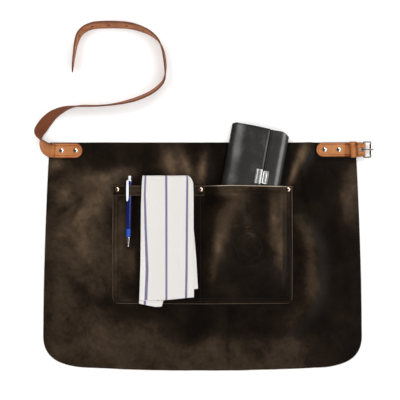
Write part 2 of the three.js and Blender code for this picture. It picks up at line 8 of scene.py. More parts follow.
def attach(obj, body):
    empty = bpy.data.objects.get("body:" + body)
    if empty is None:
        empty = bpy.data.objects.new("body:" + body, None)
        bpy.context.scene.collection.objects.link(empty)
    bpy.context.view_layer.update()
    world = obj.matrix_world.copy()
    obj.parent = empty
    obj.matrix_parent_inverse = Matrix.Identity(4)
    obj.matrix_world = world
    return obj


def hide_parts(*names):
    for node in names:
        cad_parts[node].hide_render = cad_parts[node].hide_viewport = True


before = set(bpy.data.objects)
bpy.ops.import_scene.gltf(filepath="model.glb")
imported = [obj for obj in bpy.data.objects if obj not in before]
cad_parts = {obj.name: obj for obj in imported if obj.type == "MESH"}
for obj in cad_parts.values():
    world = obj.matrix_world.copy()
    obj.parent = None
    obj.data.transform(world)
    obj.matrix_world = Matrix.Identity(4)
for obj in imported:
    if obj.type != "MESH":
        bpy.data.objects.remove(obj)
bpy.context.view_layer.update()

mm = 0.001


# numbers and curves

def ease(low, high, value):
    t = np.clip((np.asarray(value, float) - low) / (high - low), 0.0, 1.0)
    return t * t * (3.0 - 2.0 * t)


def between(value, riseFrom, riseTo, fallFrom, fallTo):
    # 1 inside a span and 0 outside it, with soft ends
    return ease(riseFrom, riseTo, value) * (1 - ease(fallFrom, fallTo, value))


def ridge(away, width):
    # 1 on a line, falling softly to 0 on both sides of it
    return np.exp(-(away / width) ** 2)


def valueNoise(x, y, seed):
    # smooth noise from -1 to 1, one bump per unit of x and y
    rng = np.random.default_rng(seed)
    table = rng.uniform(-1.0, 1.0, (64, 64))
    xi, yi = np.floor(x).astype(int), np.floor(y).astype(int)
    fx, fy = x - xi, y - yi
    fx, fy = fx * fx * (3 - 2 * fx), fy * fy * (3 - 2 * fy)
    a = table[xi % 64, yi % 64]
    b = table[(xi + 1) % 64, yi % 64]
    c = table[xi % 64, (yi + 1) % 64]
    d = table[(xi + 1) % 64, (yi + 1) % 64]
    return (a * (1 - fx) + b * fx) * (1 - fy) + (c * (1 - fx) + d * fx) * fy


def layeredNoise(x, y, seed, layers=3):
    total = np.zeros(np.broadcast(x, y).shape)
    for i in range(layers):
        total = total + valueNoise(x * 2 ** i, y * 2 ** i, seed + i) / 2 ** i
    return total / 1.75


def bezier(points, steps):
    t = np.linspace(0, 1, steps)[:, None]
    p = [np.array(q, float) for q in points]
    if len(p) == 3:
        return (1 - t) ** 2 * p[0] + 2 * t * (1 - t) * p[1] + t ** 2 * p[2]
    return (1 - t) ** 3 * p[0] + 3 * t * (1 - t) ** 2 * p[1] + 3 * t ** 2 * (1 - t) * p[2] + t ** 3 * p[3]


def alongLine(points, shares):
    # points at the given shares of a polyline's length
    points = np.asarray(points, float)
    steps = np.linalg.norm(np.diff(points, axis=0), axis=1)
    run = np.concatenate([[0], np.cumsum(steps)])
    at = np.asarray(shares) * run[-1]
    return np.stack([np.interp(at, run, points[:, k]) for k in range(points.shape[1])], axis=1)


def lineLength(points):
    return float(np.linalg.norm(np.diff(np.asarray(points, float), axis=0), axis=1).sum())


def roundCurve(points, steps):
    # a smooth curve through a given list of points
    p = np.asarray(points, float)
    p = np.vstack([2 * p[0] - p[1], p, 2 * p[-1] - p[-2]])
    knots = [0.0]
    for a, b in zip(p[:-1], p[1:]):
        knots.append(knots[-1] + max(np.linalg.norm((b - a)[:3]) ** 0.5, 1e-9))
    out = []
    for i in range(1, len(p) - 2):
        t0, t1, t2, t3 = knots[i - 1:i + 3]
        t = np.linspace(t1, t2, steps, endpoint=False)[:, None]
        a1 = (t1 - t) / (t1 - t0) * p[i - 1] + (t - t0) / (t1 - t0) * p[i]
        a2 = (t2 - t) / (t2 - t1) * p[i] + (t - t1) / (t2 - t1) * p[i + 1]
        a3 = (t3 - t) / (t3 - t2) * p[i + 1] + (t - t2) / (t3 - t2) * p[i + 2]
        b1 = (t2 - t) / (t2 - t0) * a1 + (t - t0) / (t2 - t0) * a2
        b2 = (t3 - t) / (t3 - t1) * a2 + (t - t1) / (t3 - t1) * a3
        out.append((t2 - t) / (t2 - t1) * b1 + (t - t1) / (t2 - t1) * b2)
    out.append(p[-2][None, :])
    return np.vstack(out)


def shares(length, step, rim=0.0006):
    # even shares of a length, with one narrow strip at each end so that the cut edge stays crisp
    count = max(int(round(length / step)), 2)
    inner = np.linspace(0, 1, count + 1)
    return np.unique(np.concatenate([[0, rim / length], inner[1:-1], [1 - rim / length, 1]]))


def pairs(*parts):
    # numbers or arrays of any fitting shapes stacked as the last axis
    return np.stack(np.broadcast_arrays(*parts), -1)


def patch(top, bottom, left, right, across, down):
    # a grid of points that fills the space inside four edge lines
    t, b = alongLine(top, across), alongLine(bottom, across)
    l, r = alongLine(left, down), alongLine(right, down)
    s, v = across[None, :, None], down[:, None, None]
    grid = (1 - v) * t[None] + v * b[None] + (1 - s) * l[:, None] + s * r[:, None]
    corners = ((1 - s) * (1 - v) * t[0] + s * (1 - v) * t[-1] + (1 - s) * v * b[0] + s * v * b[-1])
    return grid - corners


# mesh makers

def makeObject(name, verts, faces, materials, faceSlots=None, flat=None, marks=None, shade=True):
    mesh = bpy.data.meshes.new(name)
    mesh.from_pydata(np.asarray(verts).tolist(), [], [tuple(f) for f in faces])
    for m in materials:
        mesh.materials.append(m)
    if faceSlots is not None:
        mesh.polygons.foreach_set("material_index", np.asarray(faceSlots, np.int32))
    if flat is not None:
        layer = mesh.uv_layers.new(name="flat")
        corner = np.empty(len(mesh.loops), np.int32)
        mesh.loops.foreach_get("vertex_index", corner)
        layer.data.foreach_set("uv", np.asarray(flat, float)[corner].ravel())
    for key, values in (marks or {}).items():
        mesh.attributes.new(key, "FLOAT", "POINT").data.foreach_set("value", np.asarray(values, float))
    mesh.polygons.foreach_set("use_smooth", np.full(len(mesh.polygons), shade))
    mesh.update()
    obj = bpy.data.objects.new(name, mesh)
    bpy.context.scene.collection.objects.link(obj)
    return obj


def tubeFaces(rings, sides, closed=False):
    # the faces between neighbouring rings of points
    faces = []
    for i in range(rings if closed else rings - 1):
        low, high = i * sides, (i + 1) % rings * sides
        for k in range(sides):
            k2 = (k + 1) % sides
            faces.append((low + k, low + k2, high + k2, high + k))
    return faces


def endFaces(rings, sides):
    return [tuple(range(sides)), tuple((rings - 1) * sides + k for k in reversed(range(sides)))]


def roundCorners(x0, x1, y0, y1, radius, steps):
    # the outline of a rounded rectangle, from its upper right corner round to the left, and each point's angle
    left, right, low, high = x0 + radius, x1 - radius, y0 + radius, y1 - radius
    corners = ((right, high), (left, high), (left, low), (right, low))
    points, angles = [], []
    for i, (cx, cy) in enumerate(corners):
        for a in np.radians(np.linspace(90 * i, 90 * i + 90, steps)):
            points.append((cx + radius * math.cos(a), cy + radius * math.sin(a)))
            angles.append(a)
    return np.array(points), np.array(angles)


def gridNormals(mid, closed=False):
    if closed:
        down = np.roll(mid, -1, 0) - np.roll(mid, 1, 0)
    else:
        down = np.gradient(mid, axis=0)
    across = np.gradient(mid, axis=1)
    n = np.cross(down, across)
    return n / np.maximum(np.linalg.norm(n, axis=2, keepdims=True), 1e-12)


def leatherSheet(name, mid, thick, flat, materials, marks=None, flip=False, relief=None, closed=False,
                 rawRim=False):
    # a closed sheet: a grain face, a back face and a rounded cut edge, about a grid of middle points
    rows, cols = mid.shape[:2]
    base = gridNormals(mid, closed)
    n = -base if flip else base
    half = np.broadcast_to(np.asarray(thick, float), (rows, cols))[..., None] / 2
    front = mid + n * half
    if relief is not None:
        front = front + n * relief[..., None]
    back = mid - n * half
    count = rows * cols
    ids = np.arange(count).reshape(rows, cols)
    last = rows if closed else rows - 1
    a = ids[:last, :-1].ravel()
    b = ids[:last, 1:].ravel()
    below = np.roll(ids, -1, 0)[:last]
    c, d = below[:, 1:].ravel(), below[:, :-1].ravel()
    quads = np.stack([a, b, c, d], 1)
    faces = [quads, quads + count]
    rim = np.zeros((last, cols - 1), bool)
    if rawRim:  # the narrow strip along the cut shows the raw edge
        rim[0, :], rim[-1, :], rim[:, 0], rim[:, -1] = True, True, True, True
    slots = [np.where(rim.ravel(), 2, 0), np.ones(len(quads))]
    verts = [front.reshape(-1, 3), back.reshape(-1, 3)]
    if closed:
        loops = [(ids[:, 0], 1), (ids[:, -1], -1)]
    else:
        ring = np.concatenate([ids[0, :], ids[1:, -1], ids[-1, -2::-1], ids[-2:0:-1, 0]])
        loops = [(ring, -1)]
    points = mid.reshape(-1, 3)
    normals = base.reshape(-1, 3)
    total = 2 * count
    sources = [np.arange(count), np.arange(count)]
    for ring, turn in loops:
        p = points[ring]
        along = np.roll(p, -1, 0) - np.roll(p, 1, 0)
        out = np.cross(along, normals[ring]) * turn
        out = out / np.maximum(np.linalg.norm(out, axis=1, keepdims=True), 1e-12)
        edge = p + out * half.reshape(-1, 1)[ring] * 0.5
        verts.append(edge)
        sources.append(ring)
        m = total + np.arange(len(ring))
        m2, r2 = np.roll(m, -1), np.roll(ring, -1)
        upper = np.stack([ring, r2, m2, m], 1)
        lower = np.stack([m, m2, r2 + count, ring + count], 1)
        faces += [upper, lower]
        slots += [np.full(len(upper), 2), np.full(len(lower), 2)]
        total += len(ring)
    source = np.concatenate(sources)
    flatAll = flat.reshape(-1, 2)[source]
    markAll = {k: np.broadcast_to(v, (rows, cols)).ravel()[source] for k, v in (marks or {}).items()}
    obj = makeObject(name, np.concatenate(verts), np.concatenate(faces), materials,
                     np.concatenate(slots), flatAll, markAll)
    faceOutward(obj)
    return obj


def faceOutward(obj):
    # turns every face of a closed mesh outwards
    import bmesh
    bm = bmesh.new()
    bm.from_mesh(obj.data)
    bmesh.ops.recalc_face_normals(bm, faces=bm.faces)
    if bm.calc_volume(signed=True) < 0:
        bmesh.ops.reverse_faces(bm, faces=bm.faces)
    bm.to_mesh(obj.data)
    bm.free()


def turned(name, profile, material, place=None, sides=48):
    # a profile of (radius, y) turned about Y
    profile = np.asarray(profile, float)
    angles = np.linspace(0, 2 * math.pi, sides, endpoint=False)
    rings = []
    for r, y in profile:
        rings.append(np.stack([r * np.cos(angles), np.full(sides, y), r * np.sin(angles)], 1))
    verts = np.concatenate(rings)
    count = len(profile)
    if np.allclose(profile[0], profile[-1]):
        verts = verts[:-sides]
        faces = tubeFaces(count - 1, sides, closed=True)
    else:
        faces = tubeFaces(count, sides) + endFaces(count, sides)
    if place is not None:
        verts = placed(verts, place)
    obj = makeObject(name, verts, faces, [material])
    faceOutward(obj)
    crisp(obj, 40)
    return obj


def placed(verts, matrix):
    m = np.array(matrix)
    return np.asarray(verts) @ m[:3, :3].T + m[:3, 3]


def crisp(obj, angle):
    # smooth shading with hard edges where the faces turn by more than the angle
    mesh = obj.data
    import bmesh
    bm = bmesh.new()
    bm.from_mesh(mesh)
    for e in bm.edges:
        e.smooth = not (len(e.link_faces) == 2 and e.calc_face_angle(0) > math.radians(angle))
    bm.to_mesh(mesh)
    bm.free()


def joined(name, parts):
    # several made objects as one piece
    for o in bpy.context.selected_objects:
        o.select_set(False)
    for o in parts:
        o.select_set(True)
    bpy.context.view_layer.objects.active = parts[0]
    bpy.ops.object.join()
    parts[0].name = name
    parts[0].data.name = name
    return parts[0]


def applied(obj):
    # the object's modifiers made part of its mesh
    graph = bpy.context.evaluated_depsgraph_get()
    mesh = bpy.data.meshes.new_from_object(obj.evaluated_get(graph))
    obj.modifiers.clear()
    obj.data = mesh
    return obj


def cutAway(obj, tools):
    for tool in tools:
        m = obj.modifiers.new("cut", "BOOLEAN")
        m.operation, m.object, m.solver = "DIFFERENCE", tool, "EXACT"
    bpy.context.view_layer.update()
    applied(obj)
    for tool in tools:
        bpy.data.objects.remove(tool, do_unlink=True)
    return obj


def stitchRow(name, line, up, material, settings):
    # short sunk-in threads along a line, each a small bead of twisted thread
    pitch, length, radius = settings["pitch"], settings["length"], settings["radius"]
    total = lineLength(line)
    count = max(int(total / pitch), 1)
    at = (np.arange(count) + 0.5) / count
    centre = alongLine(line, at)
    ahead = alongLine(line, np.clip(at + 0.25 * pitch / total, 0, 1))
    behind = alongLine(line, np.clip(at - 0.25 * pitch / total, 0, 1))
    along = ahead - behind
    along /= np.maximum(np.linalg.norm(along, axis=1, keepdims=True), 1e-12)
    upAt = np.broadcast_to(np.asarray(up, float), centre.shape)
    side = np.cross(along, upAt)
    side /= np.maximum(np.linalg.norm(side, axis=1, keepdims=True), 1e-12)
    lift = np.cross(side, along)
    rings, sides = 7, 8
    t = np.linspace(-1, 1, rings)
    girth = np.sqrt(np.clip(1 - t ** 4, 0.02, 1))
    angles = np.linspace(0, 2 * math.pi, sides, endpoint=False)
    base = []
    for k in range(rings):
        dip = -0.55 * radius * t[k] ** 2
        for a in angles:
            wide, tall = radius * girth[k] * math.cos(a), radius * girth[k] * math.sin(a) * 0.8
            base.append((t[k] * length / 2, wide, tall + dip))
    base = np.array(base)
    verts = (centre[:, None] + base[None, :, 0:1] * along[:, None] + base[None, :, 1:2] * side[:, None]
             + base[None, :, 2:3] * lift[:, None])
    bead = [f[::-1] for f in tubeFaces(rings, sides)] + endFaces(rings, sides)
    faces = [tuple(v + i * len(base) for v in f) for i in range(count) for f in bead]
    return makeObject(name, verts.reshape(-1, 3), faces, [material])


# shader groups

def newGroup(name, inputs, outputs):
    tree = bpy.data.node_groups.new(name, "ShaderNodeTree")
    for label, kind, default in inputs:
        s = tree.interface.new_socket(name=label, in_out="INPUT", socket_type=kind)
        if default is not None:
            s.default_value = default
    for label, kind in outputs:
        tree.interface.new_socket(name=label, in_out="OUTPUT", socket_type=kind)
    return tree, tree.nodes.new("NodeGroupInput"), tree.nodes.new("NodeGroupOutput")


def node(tree, kind, **values):
    n = tree.nodes.new(kind)
    for key, value in values.items():
        if key in n.inputs.keys():
            n.inputs[key].default_value = value
        else:
            setattr(n, key, value)
    return n


def sum2(tree, a, b, operation="ADD"):
    n = node(tree, "ShaderNodeMath", operation=operation)
    for i, v in enumerate((a, b)):
        if isinstance(v, (int, float)):
            n.inputs[i].default_value = v
        else:
            tree.links.new(v, n.inputs[i])
    return n.outputs[0]


def leatherGrainGroup():
    tree, i, o = newGroup("leatherGrain",
                          [("Coordinates", "NodeSocketVector", None), ("Cell Scale", "NodeSocketFloat", 900.0),
                           ("Wrinkle Scale", "NodeSocketFloat", 90.0), ("Wrinkle Amount", "NodeSocketFloat", 0.4)],
                          [("Height", "NodeSocketFloat"), ("Pores", "NodeSocketFloat")])
    link = tree.links.new
    warp = node(tree, "ShaderNodeTexNoise", Scale=220.0, Detail=2.0)
    link(i.outputs["Coordinates"], warp.inputs["Vector"])
    bend = node(tree, "ShaderNodeVectorMath", operation="MULTIPLY_ADD")
    bend.inputs[1].default_value = (0.0012, 0.0012, 0.0012)
    link(warp.outputs["Color"], bend.inputs[0])
    link(i.outputs["Coordinates"], bend.inputs[2])
    cells = node(tree, "ShaderNodeTexVoronoi", feature="DISTANCE_TO_EDGE")
    link(bend.outputs[0], cells.inputs["Vector"])
    link(i.outputs["Cell Scale"], cells.inputs["Scale"])
    pebble = node(tree, "ShaderNodeMapRange")
    pebble.inputs["From Max"].default_value = 0.28
    link(cells.outputs["Distance"], pebble.inputs["Value"])
    wrinkle = node(tree, "ShaderNodeTexNoise", Detail=5.0, Roughness=0.6)
    link(i.outputs["Coordinates"], wrinkle.inputs["Vector"])
    link(i.outputs["Wrinkle Scale"], wrinkle.inputs["Scale"])
    creased = sum2(tree, wrinkle.outputs["Fac"], i.outputs["Wrinkle Amount"], "MULTIPLY")
    link(sum2(tree, pebble.outputs["Result"], creased), o.inputs["Height"])
    link(pebble.outputs["Result"], o.inputs["Pores"])
    return tree


def colourDriftGroup():
    tree, i, o = newGroup("colourDrift",
                          [("Coordinates", "NodeSocketVector", None), ("Patch Scale", "NodeSocketFloat", 18.0),
                           ("Contrast", "NodeSocketFloat", 1.0)],
                          [("Amount", "NodeSocketFloat")])
    link = tree.links.new
    broad = node(tree, "ShaderNodeTexNoise", Detail=4.0, Roughness=0.62, Distortion=0.6)
    link(i.outputs["Coordinates"], broad.inputs["Vector"])
    link(i.outputs["Patch Scale"], broad.inputs["Scale"])
    centred = sum2(tree, broad.outputs["Fac"], 0.5, "SUBTRACT")
    link(sum2(tree, centred, i.outputs["Contrast"], "MULTIPLY"), o.inputs["Amount"])
    return tree


def weaveGroup():
    tree, i, o = newGroup("plainWeave",
                          [("Coordinates", "NodeSocketVector", None), ("Threads", "NodeSocketFloat", 1500.0)],
                          [("Height", "NodeSocketFloat"), ("Thread Shade", "NodeSocketFloat")])
    link = tree.links.new
    part = node(tree, "ShaderNodeSeparateXYZ")
    link(i.outputs["Coordinates"], part.inputs[0])
    waves = []
    for axis in ("X", "Y"):
        turn = sum2(tree, sum2(tree, part.outputs[axis], i.outputs["Threads"], "MULTIPLY"), math.pi, "MULTIPLY")
        waves.append(sum2(tree, turn, 0.0, "SINE"))
    over = sum2(tree, waves[0], waves[1], "MULTIPLY")
    slub = node(tree, "ShaderNodeTexNoise", Scale=500.0, Detail=3.0)
    link(i.outputs["Coordinates"], slub.inputs["Vector"])
    link(sum2(tree, over, slub.outputs["Fac"]), o.inputs["Height"])
    link(slub.outputs["Fac"], o.inputs["Thread Shade"])
    return tree


grainGroup = leatherGrainGroup()
driftGroup = colourDriftGroup()
clothGroup = weaveGroup()


# materials

def newMaterial(name):
    m = bpy.data.materials.new(name)
    m.use_nodes = True
    tree = m.node_tree
    return m, tree, tree.nodes["Principled BSDF"]


def coordinates(tree, kind):
    if kind == "flat":
        return node(tree, "ShaderNodeUVMap", uv_map="flat").outputs["UV"]
    return node(tree, "ShaderNodeTexCoord").outputs["Object"]


def placeGroup(tree, group, where, **values):
    n = node(tree, "ShaderNodeGroup", node_tree=group)
    tree.links.new(where, n.inputs["Coordinates"])
    for key, value in values.items():
        n.inputs[key.replace("_", " ")].default_value = value
    return n


def colourRamp(tree, fac, stops):
    n = node(tree, "ShaderNodeValToRGB")
    ramp = n.color_ramp
    while len(ramp.elements) < len(stops):
        ramp.elements.new(0.5)
    for e, (at, colour) in zip(ramp.elements, stops):
        e.position, e.color = at, (*colour, 1)
    tree.links.new(fac, n.inputs["Fac"])
    return n.outputs["Color"]


def bumped(tree, bsdf, height, distance, strength=1.0):
    b = node(tree, "ShaderNodeBump", Strength=strength, Distance=distance)
    tree.links.new(height, b.inputs["Height"])
    tree.links.new(b.outputs["Normal"], bsdf.inputs["Normal"])


def makeLeather(name, look, kind="flat", mark=None):
    m, tree, bsdf = newMaterial(name)
    where = coordinates(tree, kind)
    drift = placeGroup(tree, driftGroup, where, Patch_Scale=look["patchScale"], Contrast=look["contrast"])
    fine = placeGroup(tree, driftGroup, where, Patch_Scale=look["patchScale"] * 9, Contrast=look["contrast"] * 0.5)
    level = sum2(tree, drift.outputs["Amount"], fine.outputs["Amount"])
    if mark:
        level = sum2(tree, level, node(tree, "ShaderNodeAttribute", attribute_name=mark).outputs["Fac"])
    else:
        level = sum2(tree, level, look["level"])
    tree.links.new(colourRamp(tree, level, look["stops"]), bsdf.inputs["Base Color"])
    grain = placeGroup(tree, grainGroup, where, Cell_Scale=look["cells"], Wrinkle_Scale=look["wrinkles"],
                       Wrinkle_Amount=look["wrinkled"])
    rough = node(tree, "ShaderNodeMapRange")
    rough.inputs["To Min"].default_value = look["roughLow"]
    rough.inputs["To Max"].default_value = look["roughHigh"]
    tree.links.new(grain.outputs["Pores"], rough.inputs["Value"])
    tree.links.new(rough.outputs["Result"], bsdf.inputs["Roughness"])
    bumped(tree, bsdf, grain.outputs["Height"], look["depth"])
    bsdf.inputs["Specular IOR Level"].default_value = look.get("shine", 0.5)
    return m


apronLeatherLook = {
    "stops": [(0.0, (0.0035, 0.0022, 0.0013)), (0.35, (0.0115, 0.0072, 0.0042)),
              (0.7, (0.042, 0.0275, 0.0165)), (1.0, (0.105, 0.068, 0.041))],
    "level": 0.35, "contrast": 0.75, "patchScale": 14.0, "cells": 800.0, "wrinkles": 70.0, "wrinkled": 0.6,
    "roughLow": 0.38, "roughHigh": 0.29, "depth": 0.00009, "shine": 0.09,
}
apronLeather = makeLeather("apronLeather", apronLeatherLook, mark="hideToneAndPaintedLight")
apronEdge = makeLeather("apronCutEdge", {
    **apronLeatherLook, "stops": [(0.0, (0.05, 0.032, 0.022)), (1.0, (0.17, 0.12, 0.085))], "level": 0.5,
    "roughLow": 0.7, "roughHigh": 0.6})
pocketEdge = makeLeather("pocketRawEdge", {
    **apronLeatherLook,
    "stops": [(0.0, (0.016, 0.011, 0.008)), (0.5, (0.12, 0.085, 0.058)), (1.0, (0.52, 0.42, 0.32))],
    "contrast": 0.5, "roughLow": 0.75, "roughHigh": 0.65}, mark="hideToneAndPaintedLight")
apronBack = makeLeather("apronFleshSide", {
    **apronLeatherLook, "stops": [(0.0, (0.03, 0.02, 0.013)), (1.0, (0.12, 0.08, 0.055))], "level": 0.45,
    "cells": 1800.0, "wrinkles": 400.0, "wrinkled": 1.2, "roughLow": 0.85, "roughHigh": 0.75, "depth": 0.0004})
apronMaterials = [apronLeather, apronBack, apronEdge]
strapLook = {
    "stops": [(0.0, (0.07, 0.018, 0.005)), (0.3, (0.25, 0.066, 0.015)), (0.6, (0.42, 0.158, 0.05)),
              (1.0, (0.56, 0.265, 0.12))],
    "level": 0.5, "contrast": 0.8, "patchScale": 35.0, "cells": 1500.0, "wrinkles": 160.0, "wrinkled": 0.5,
    "roughLow": 0.6, "roughHigh": 0.48, "depth": 0.00012, "shine": 0.28,
}
strapLeather = makeLeather("strapLeather", strapLook, mark="strapTone")
strapFlesh = makeLeather("strapFleshSide", {
    **strapLook, "stops": [(0.0, (0.12, 0.03, 0.009)), (1.0, (0.27, 0.078, 0.026))], "cells": 2400.0,
    "wrinkles": 500.0, "wrinkled": 1.4, "roughLow": 0.85, "roughHigh": 0.7, "depth": 0.0003})
strapEdge = makeLeather("strapBurnishedEdge", {
    **strapLook, "stops": [(0.0, (0.07, 0.02, 0.008)), (1.0, (0.19, 0.062, 0.022))], "roughLow": 0.4,
    "roughHigh": 0.35})
# near black: painted shade inside the punched holes
strapHole = makeLeather("strapHoleWall", {
    **strapLook, "stops": [(0.0, (0.008, 0.004, 0.002)), (1.0, (0.03, 0.012, 0.006))], "shine": 0.1})
strapMaterials = [strapLeather, strapFlesh, strapEdge]
walletLook = {
    "stops": [(0.0, (0.008, 0.0078, 0.0076)), (0.4, (0.026, 0.0245, 0.0235)), (1.0, (0.165, 0.158, 0.154))],
    "level": 0.45, "contrast": 0.6, "patchScale": 22.0, "cells": 1900.0, "wrinkles": 120.0, "wrinkled": 0.35,
    "roughLow": 0.38, "roughHigh": 0.24, "depth": 0.00005, "shine": 0.4,
}
walletLeather = makeLeather("walletLeather", walletLook, mark="walletTone")
walletLining = makeLeather("walletLining", {
    **walletLook, "stops": [(0.0, (0.008, 0.008, 0.008)), (1.0, (0.022, 0.021, 0.02))], "roughLow": 0.9,
    "roughHigh": 0.8}, kind="object")


def makeMetal(name, colour, rough, scratch):
    m, tree, bsdf = newMaterial(name)
    where = coordinates(tree, "object")
    marks = placeGroup(tree, driftGroup, where, Patch_Scale=700.0, Contrast=scratch)
    soft = placeGroup(tree, driftGroup, where, Patch_Scale=120.0, Contrast=0.6)
    level = sum2(tree, sum2(tree, marks.outputs["Amount"], soft.outputs["Amount"]), 0.5)
    dull = tuple(c * 0.8 for c in colour)
    tree.links.new(colourRamp(tree, level, [(0.2, dull), (0.8, colour)]), bsdf.inputs["Base Color"])
    r = node(tree, "ShaderNodeMapRange")
    r.inputs["To Min"].default_value, r.inputs["To Max"].default_value = rough * 0.8, rough * 1.4
    tree.links.new(level, r.inputs["Value"])
    tree.links.new(r.outputs["Result"], bsdf.inputs["Roughness"])
    bumped(tree, bsdf, level, 0.00002)
    bsdf.inputs["Metallic"].default_value = 1.0
    return m


nickel = makeMetal("polishedNickel", (0.78, 0.77, 0.74), 0.16, 0.5)
buckleNickel = makeMetal("buckleNickel", (0.46, 0.46, 0.43), 0.2, 0.6)
copper = makeMetal("roseCopper", (0.70, 0.50, 0.38), 0.2, 0.5)
claspSteel = makeMetal("claspSteel", (0.93, 0.93, 0.92), 0.46, 0.4)


def makePlastic(name, colour, deep, rough, coat=0.0):
    m, tree, bsdf = newMaterial(name)
    where = coordinates(tree, "object")
    drift = placeGroup(tree, driftGroup, where, Patch_Scale=160.0, Contrast=0.5)
    level = sum2(tree, drift.outputs["Amount"], 0.5)
    tree.links.new(colourRamp(tree, level, [(0.2, deep), (0.8, colour)]), bsdf.inputs["Base Color"])
    r = node(tree, "ShaderNodeMapRange")
    r.inputs["To Min"].default_value, r.inputs["To Max"].default_value = rough, rough * 1.5
    tree.links.new(level, r.inputs["Value"])
    tree.links.new(r.outputs["Result"], bsdf.inputs["Roughness"])
    bumped(tree, bsdf, level, 0.00002)
    bsdf.inputs["Coat Weight"].default_value = coat
    return m


penBlue = makePlastic("penBluePlastic", (0.003, 0.010, 0.115), (0.002, 0.006, 0.08), 0.12)
penGripBlue = makePlastic("penGripRubber", (0.007, 0.075, 0.46), (0.005, 0.055, 0.36), 0.45)
penWhite = makePlastic("penWhitePlastic", (0.82, 0.84, 0.87), (0.74, 0.77, 0.81), 0.25)


def makeThread(name, colour):
    m, tree, bsdf = newMaterial(name)
    where = coordinates(tree, "object")
    ply = node(tree, "ShaderNodeTexWave", Scale=1400.0, Distortion=0.5)
    ply.wave_type, ply.bands_direction = "BANDS", "DIAGONAL"
    tree.links.new(where, ply.inputs["Vector"])
    dark = tuple(c * 0.45 for c in colour)
    tree.links.new(colourRamp(tree, ply.outputs["Fac"], [(0.1, dark), (0.9, colour)]), bsdf.inputs["Base Color"])
    bumped(tree, bsdf, ply.outputs["Fac"], 0.0001)
    bsdf.inputs["Roughness"].default_value = 0.75
    return m


darkThread = makeThread("waxedDarkThread", (0.012, 0.009, 0.007))


stripePlan = {"first": 13.2 * mm, "pitch": 43.5 * mm, "half": 2.2 * mm, "soft": 0.5 * mm, "ragged": 1.0 * mm,
              "cloth": (0.79, 0.765, 0.73), "clothDark": (0.66, 0.635, 0.605), "dye": (0.23, 0.20, 0.33),
              "dyeDark": (0.10, 0.085, 0.17)}


def makeTowelCloth():
    m, tree, bsdf = newMaterial("towelCotton")
    where = coordinates(tree, "flat")
    weave = placeGroup(tree, clothGroup, where, Threads=1100.0)
    part = node(tree, "ShaderNodeSeparateXYZ")
    tree.links.new(where, part.inputs[0])
    ragged = node(tree, "ShaderNodeTexNoise", Scale=900.0, Detail=2.0)
    tree.links.new(where, ragged.inputs["Vector"])
    wobble = sum2(tree, sum2(tree, ragged.outputs["Fac"], 0.5, "SUBTRACT"), stripePlan["ragged"], "MULTIPLY")
    shifted = sum2(tree, sum2(tree, part.outputs["X"], wobble), stripePlan["pitch"] / 2 - stripePlan["first"])
    within = sum2(tree, shifted, stripePlan["pitch"], "FLOORED_MODULO")
    away = sum2(tree, sum2(tree, within, stripePlan["pitch"] / 2, "SUBTRACT"), 0.0, "ABSOLUTE")
    inside = node(tree, "ShaderNodeMapRange", interpolation_type="SMOOTHSTEP")
    inside.inputs["From Min"].default_value = stripePlan["half"] + stripePlan["soft"]
    inside.inputs["From Max"].default_value = stripePlan["half"] - stripePlan["soft"]
    tree.links.new(away, inside.inputs["Value"])
    shade = weave.outputs["Thread Shade"]
    cloth = colourRamp(tree, shade, [(0.3, stripePlan["clothDark"]), (0.7, stripePlan["cloth"])])
    dyed = colourRamp(tree, shade, [(0.3, stripePlan["dyeDark"]), (0.7, stripePlan["dye"])])
    mix = node(tree, "ShaderNodeMix", data_type="RGBA")
    tree.links.new(inside.outputs["Result"], mix.inputs[0])
    tree.links.new(cloth, mix.inputs[6])
    tree.links.new(dyed, mix.inputs[7])
    tree.links.new(mix.outputs[2], bsdf.inputs["Base Color"])
    bsdf.inputs["Roughness"].default_value = 0.95
    bsdf.inputs["Sheen Weight"].default_value = 0.25
    bumped(tree, bsdf, weave.outputs["Height"], 0.00025)
    return m


towelCotton = makeTowelCloth()
print("materials made")


# the waves of the laid leather

# heights in the stack, as the solids have them
stack = {"leather": 1.8 * mm, "hemLift": 2.1 * mm, "pocketBase": 2.1 * mm, "pocketLeather": 1.6 * mm}
stack["panelTop"] = stack["leather"]
stack["pocketFace"] = stack["pocketBase"] + stack["pocketLeather"]
stack["waistTop"] = stack["panelTop"] + stack["hemLift"]
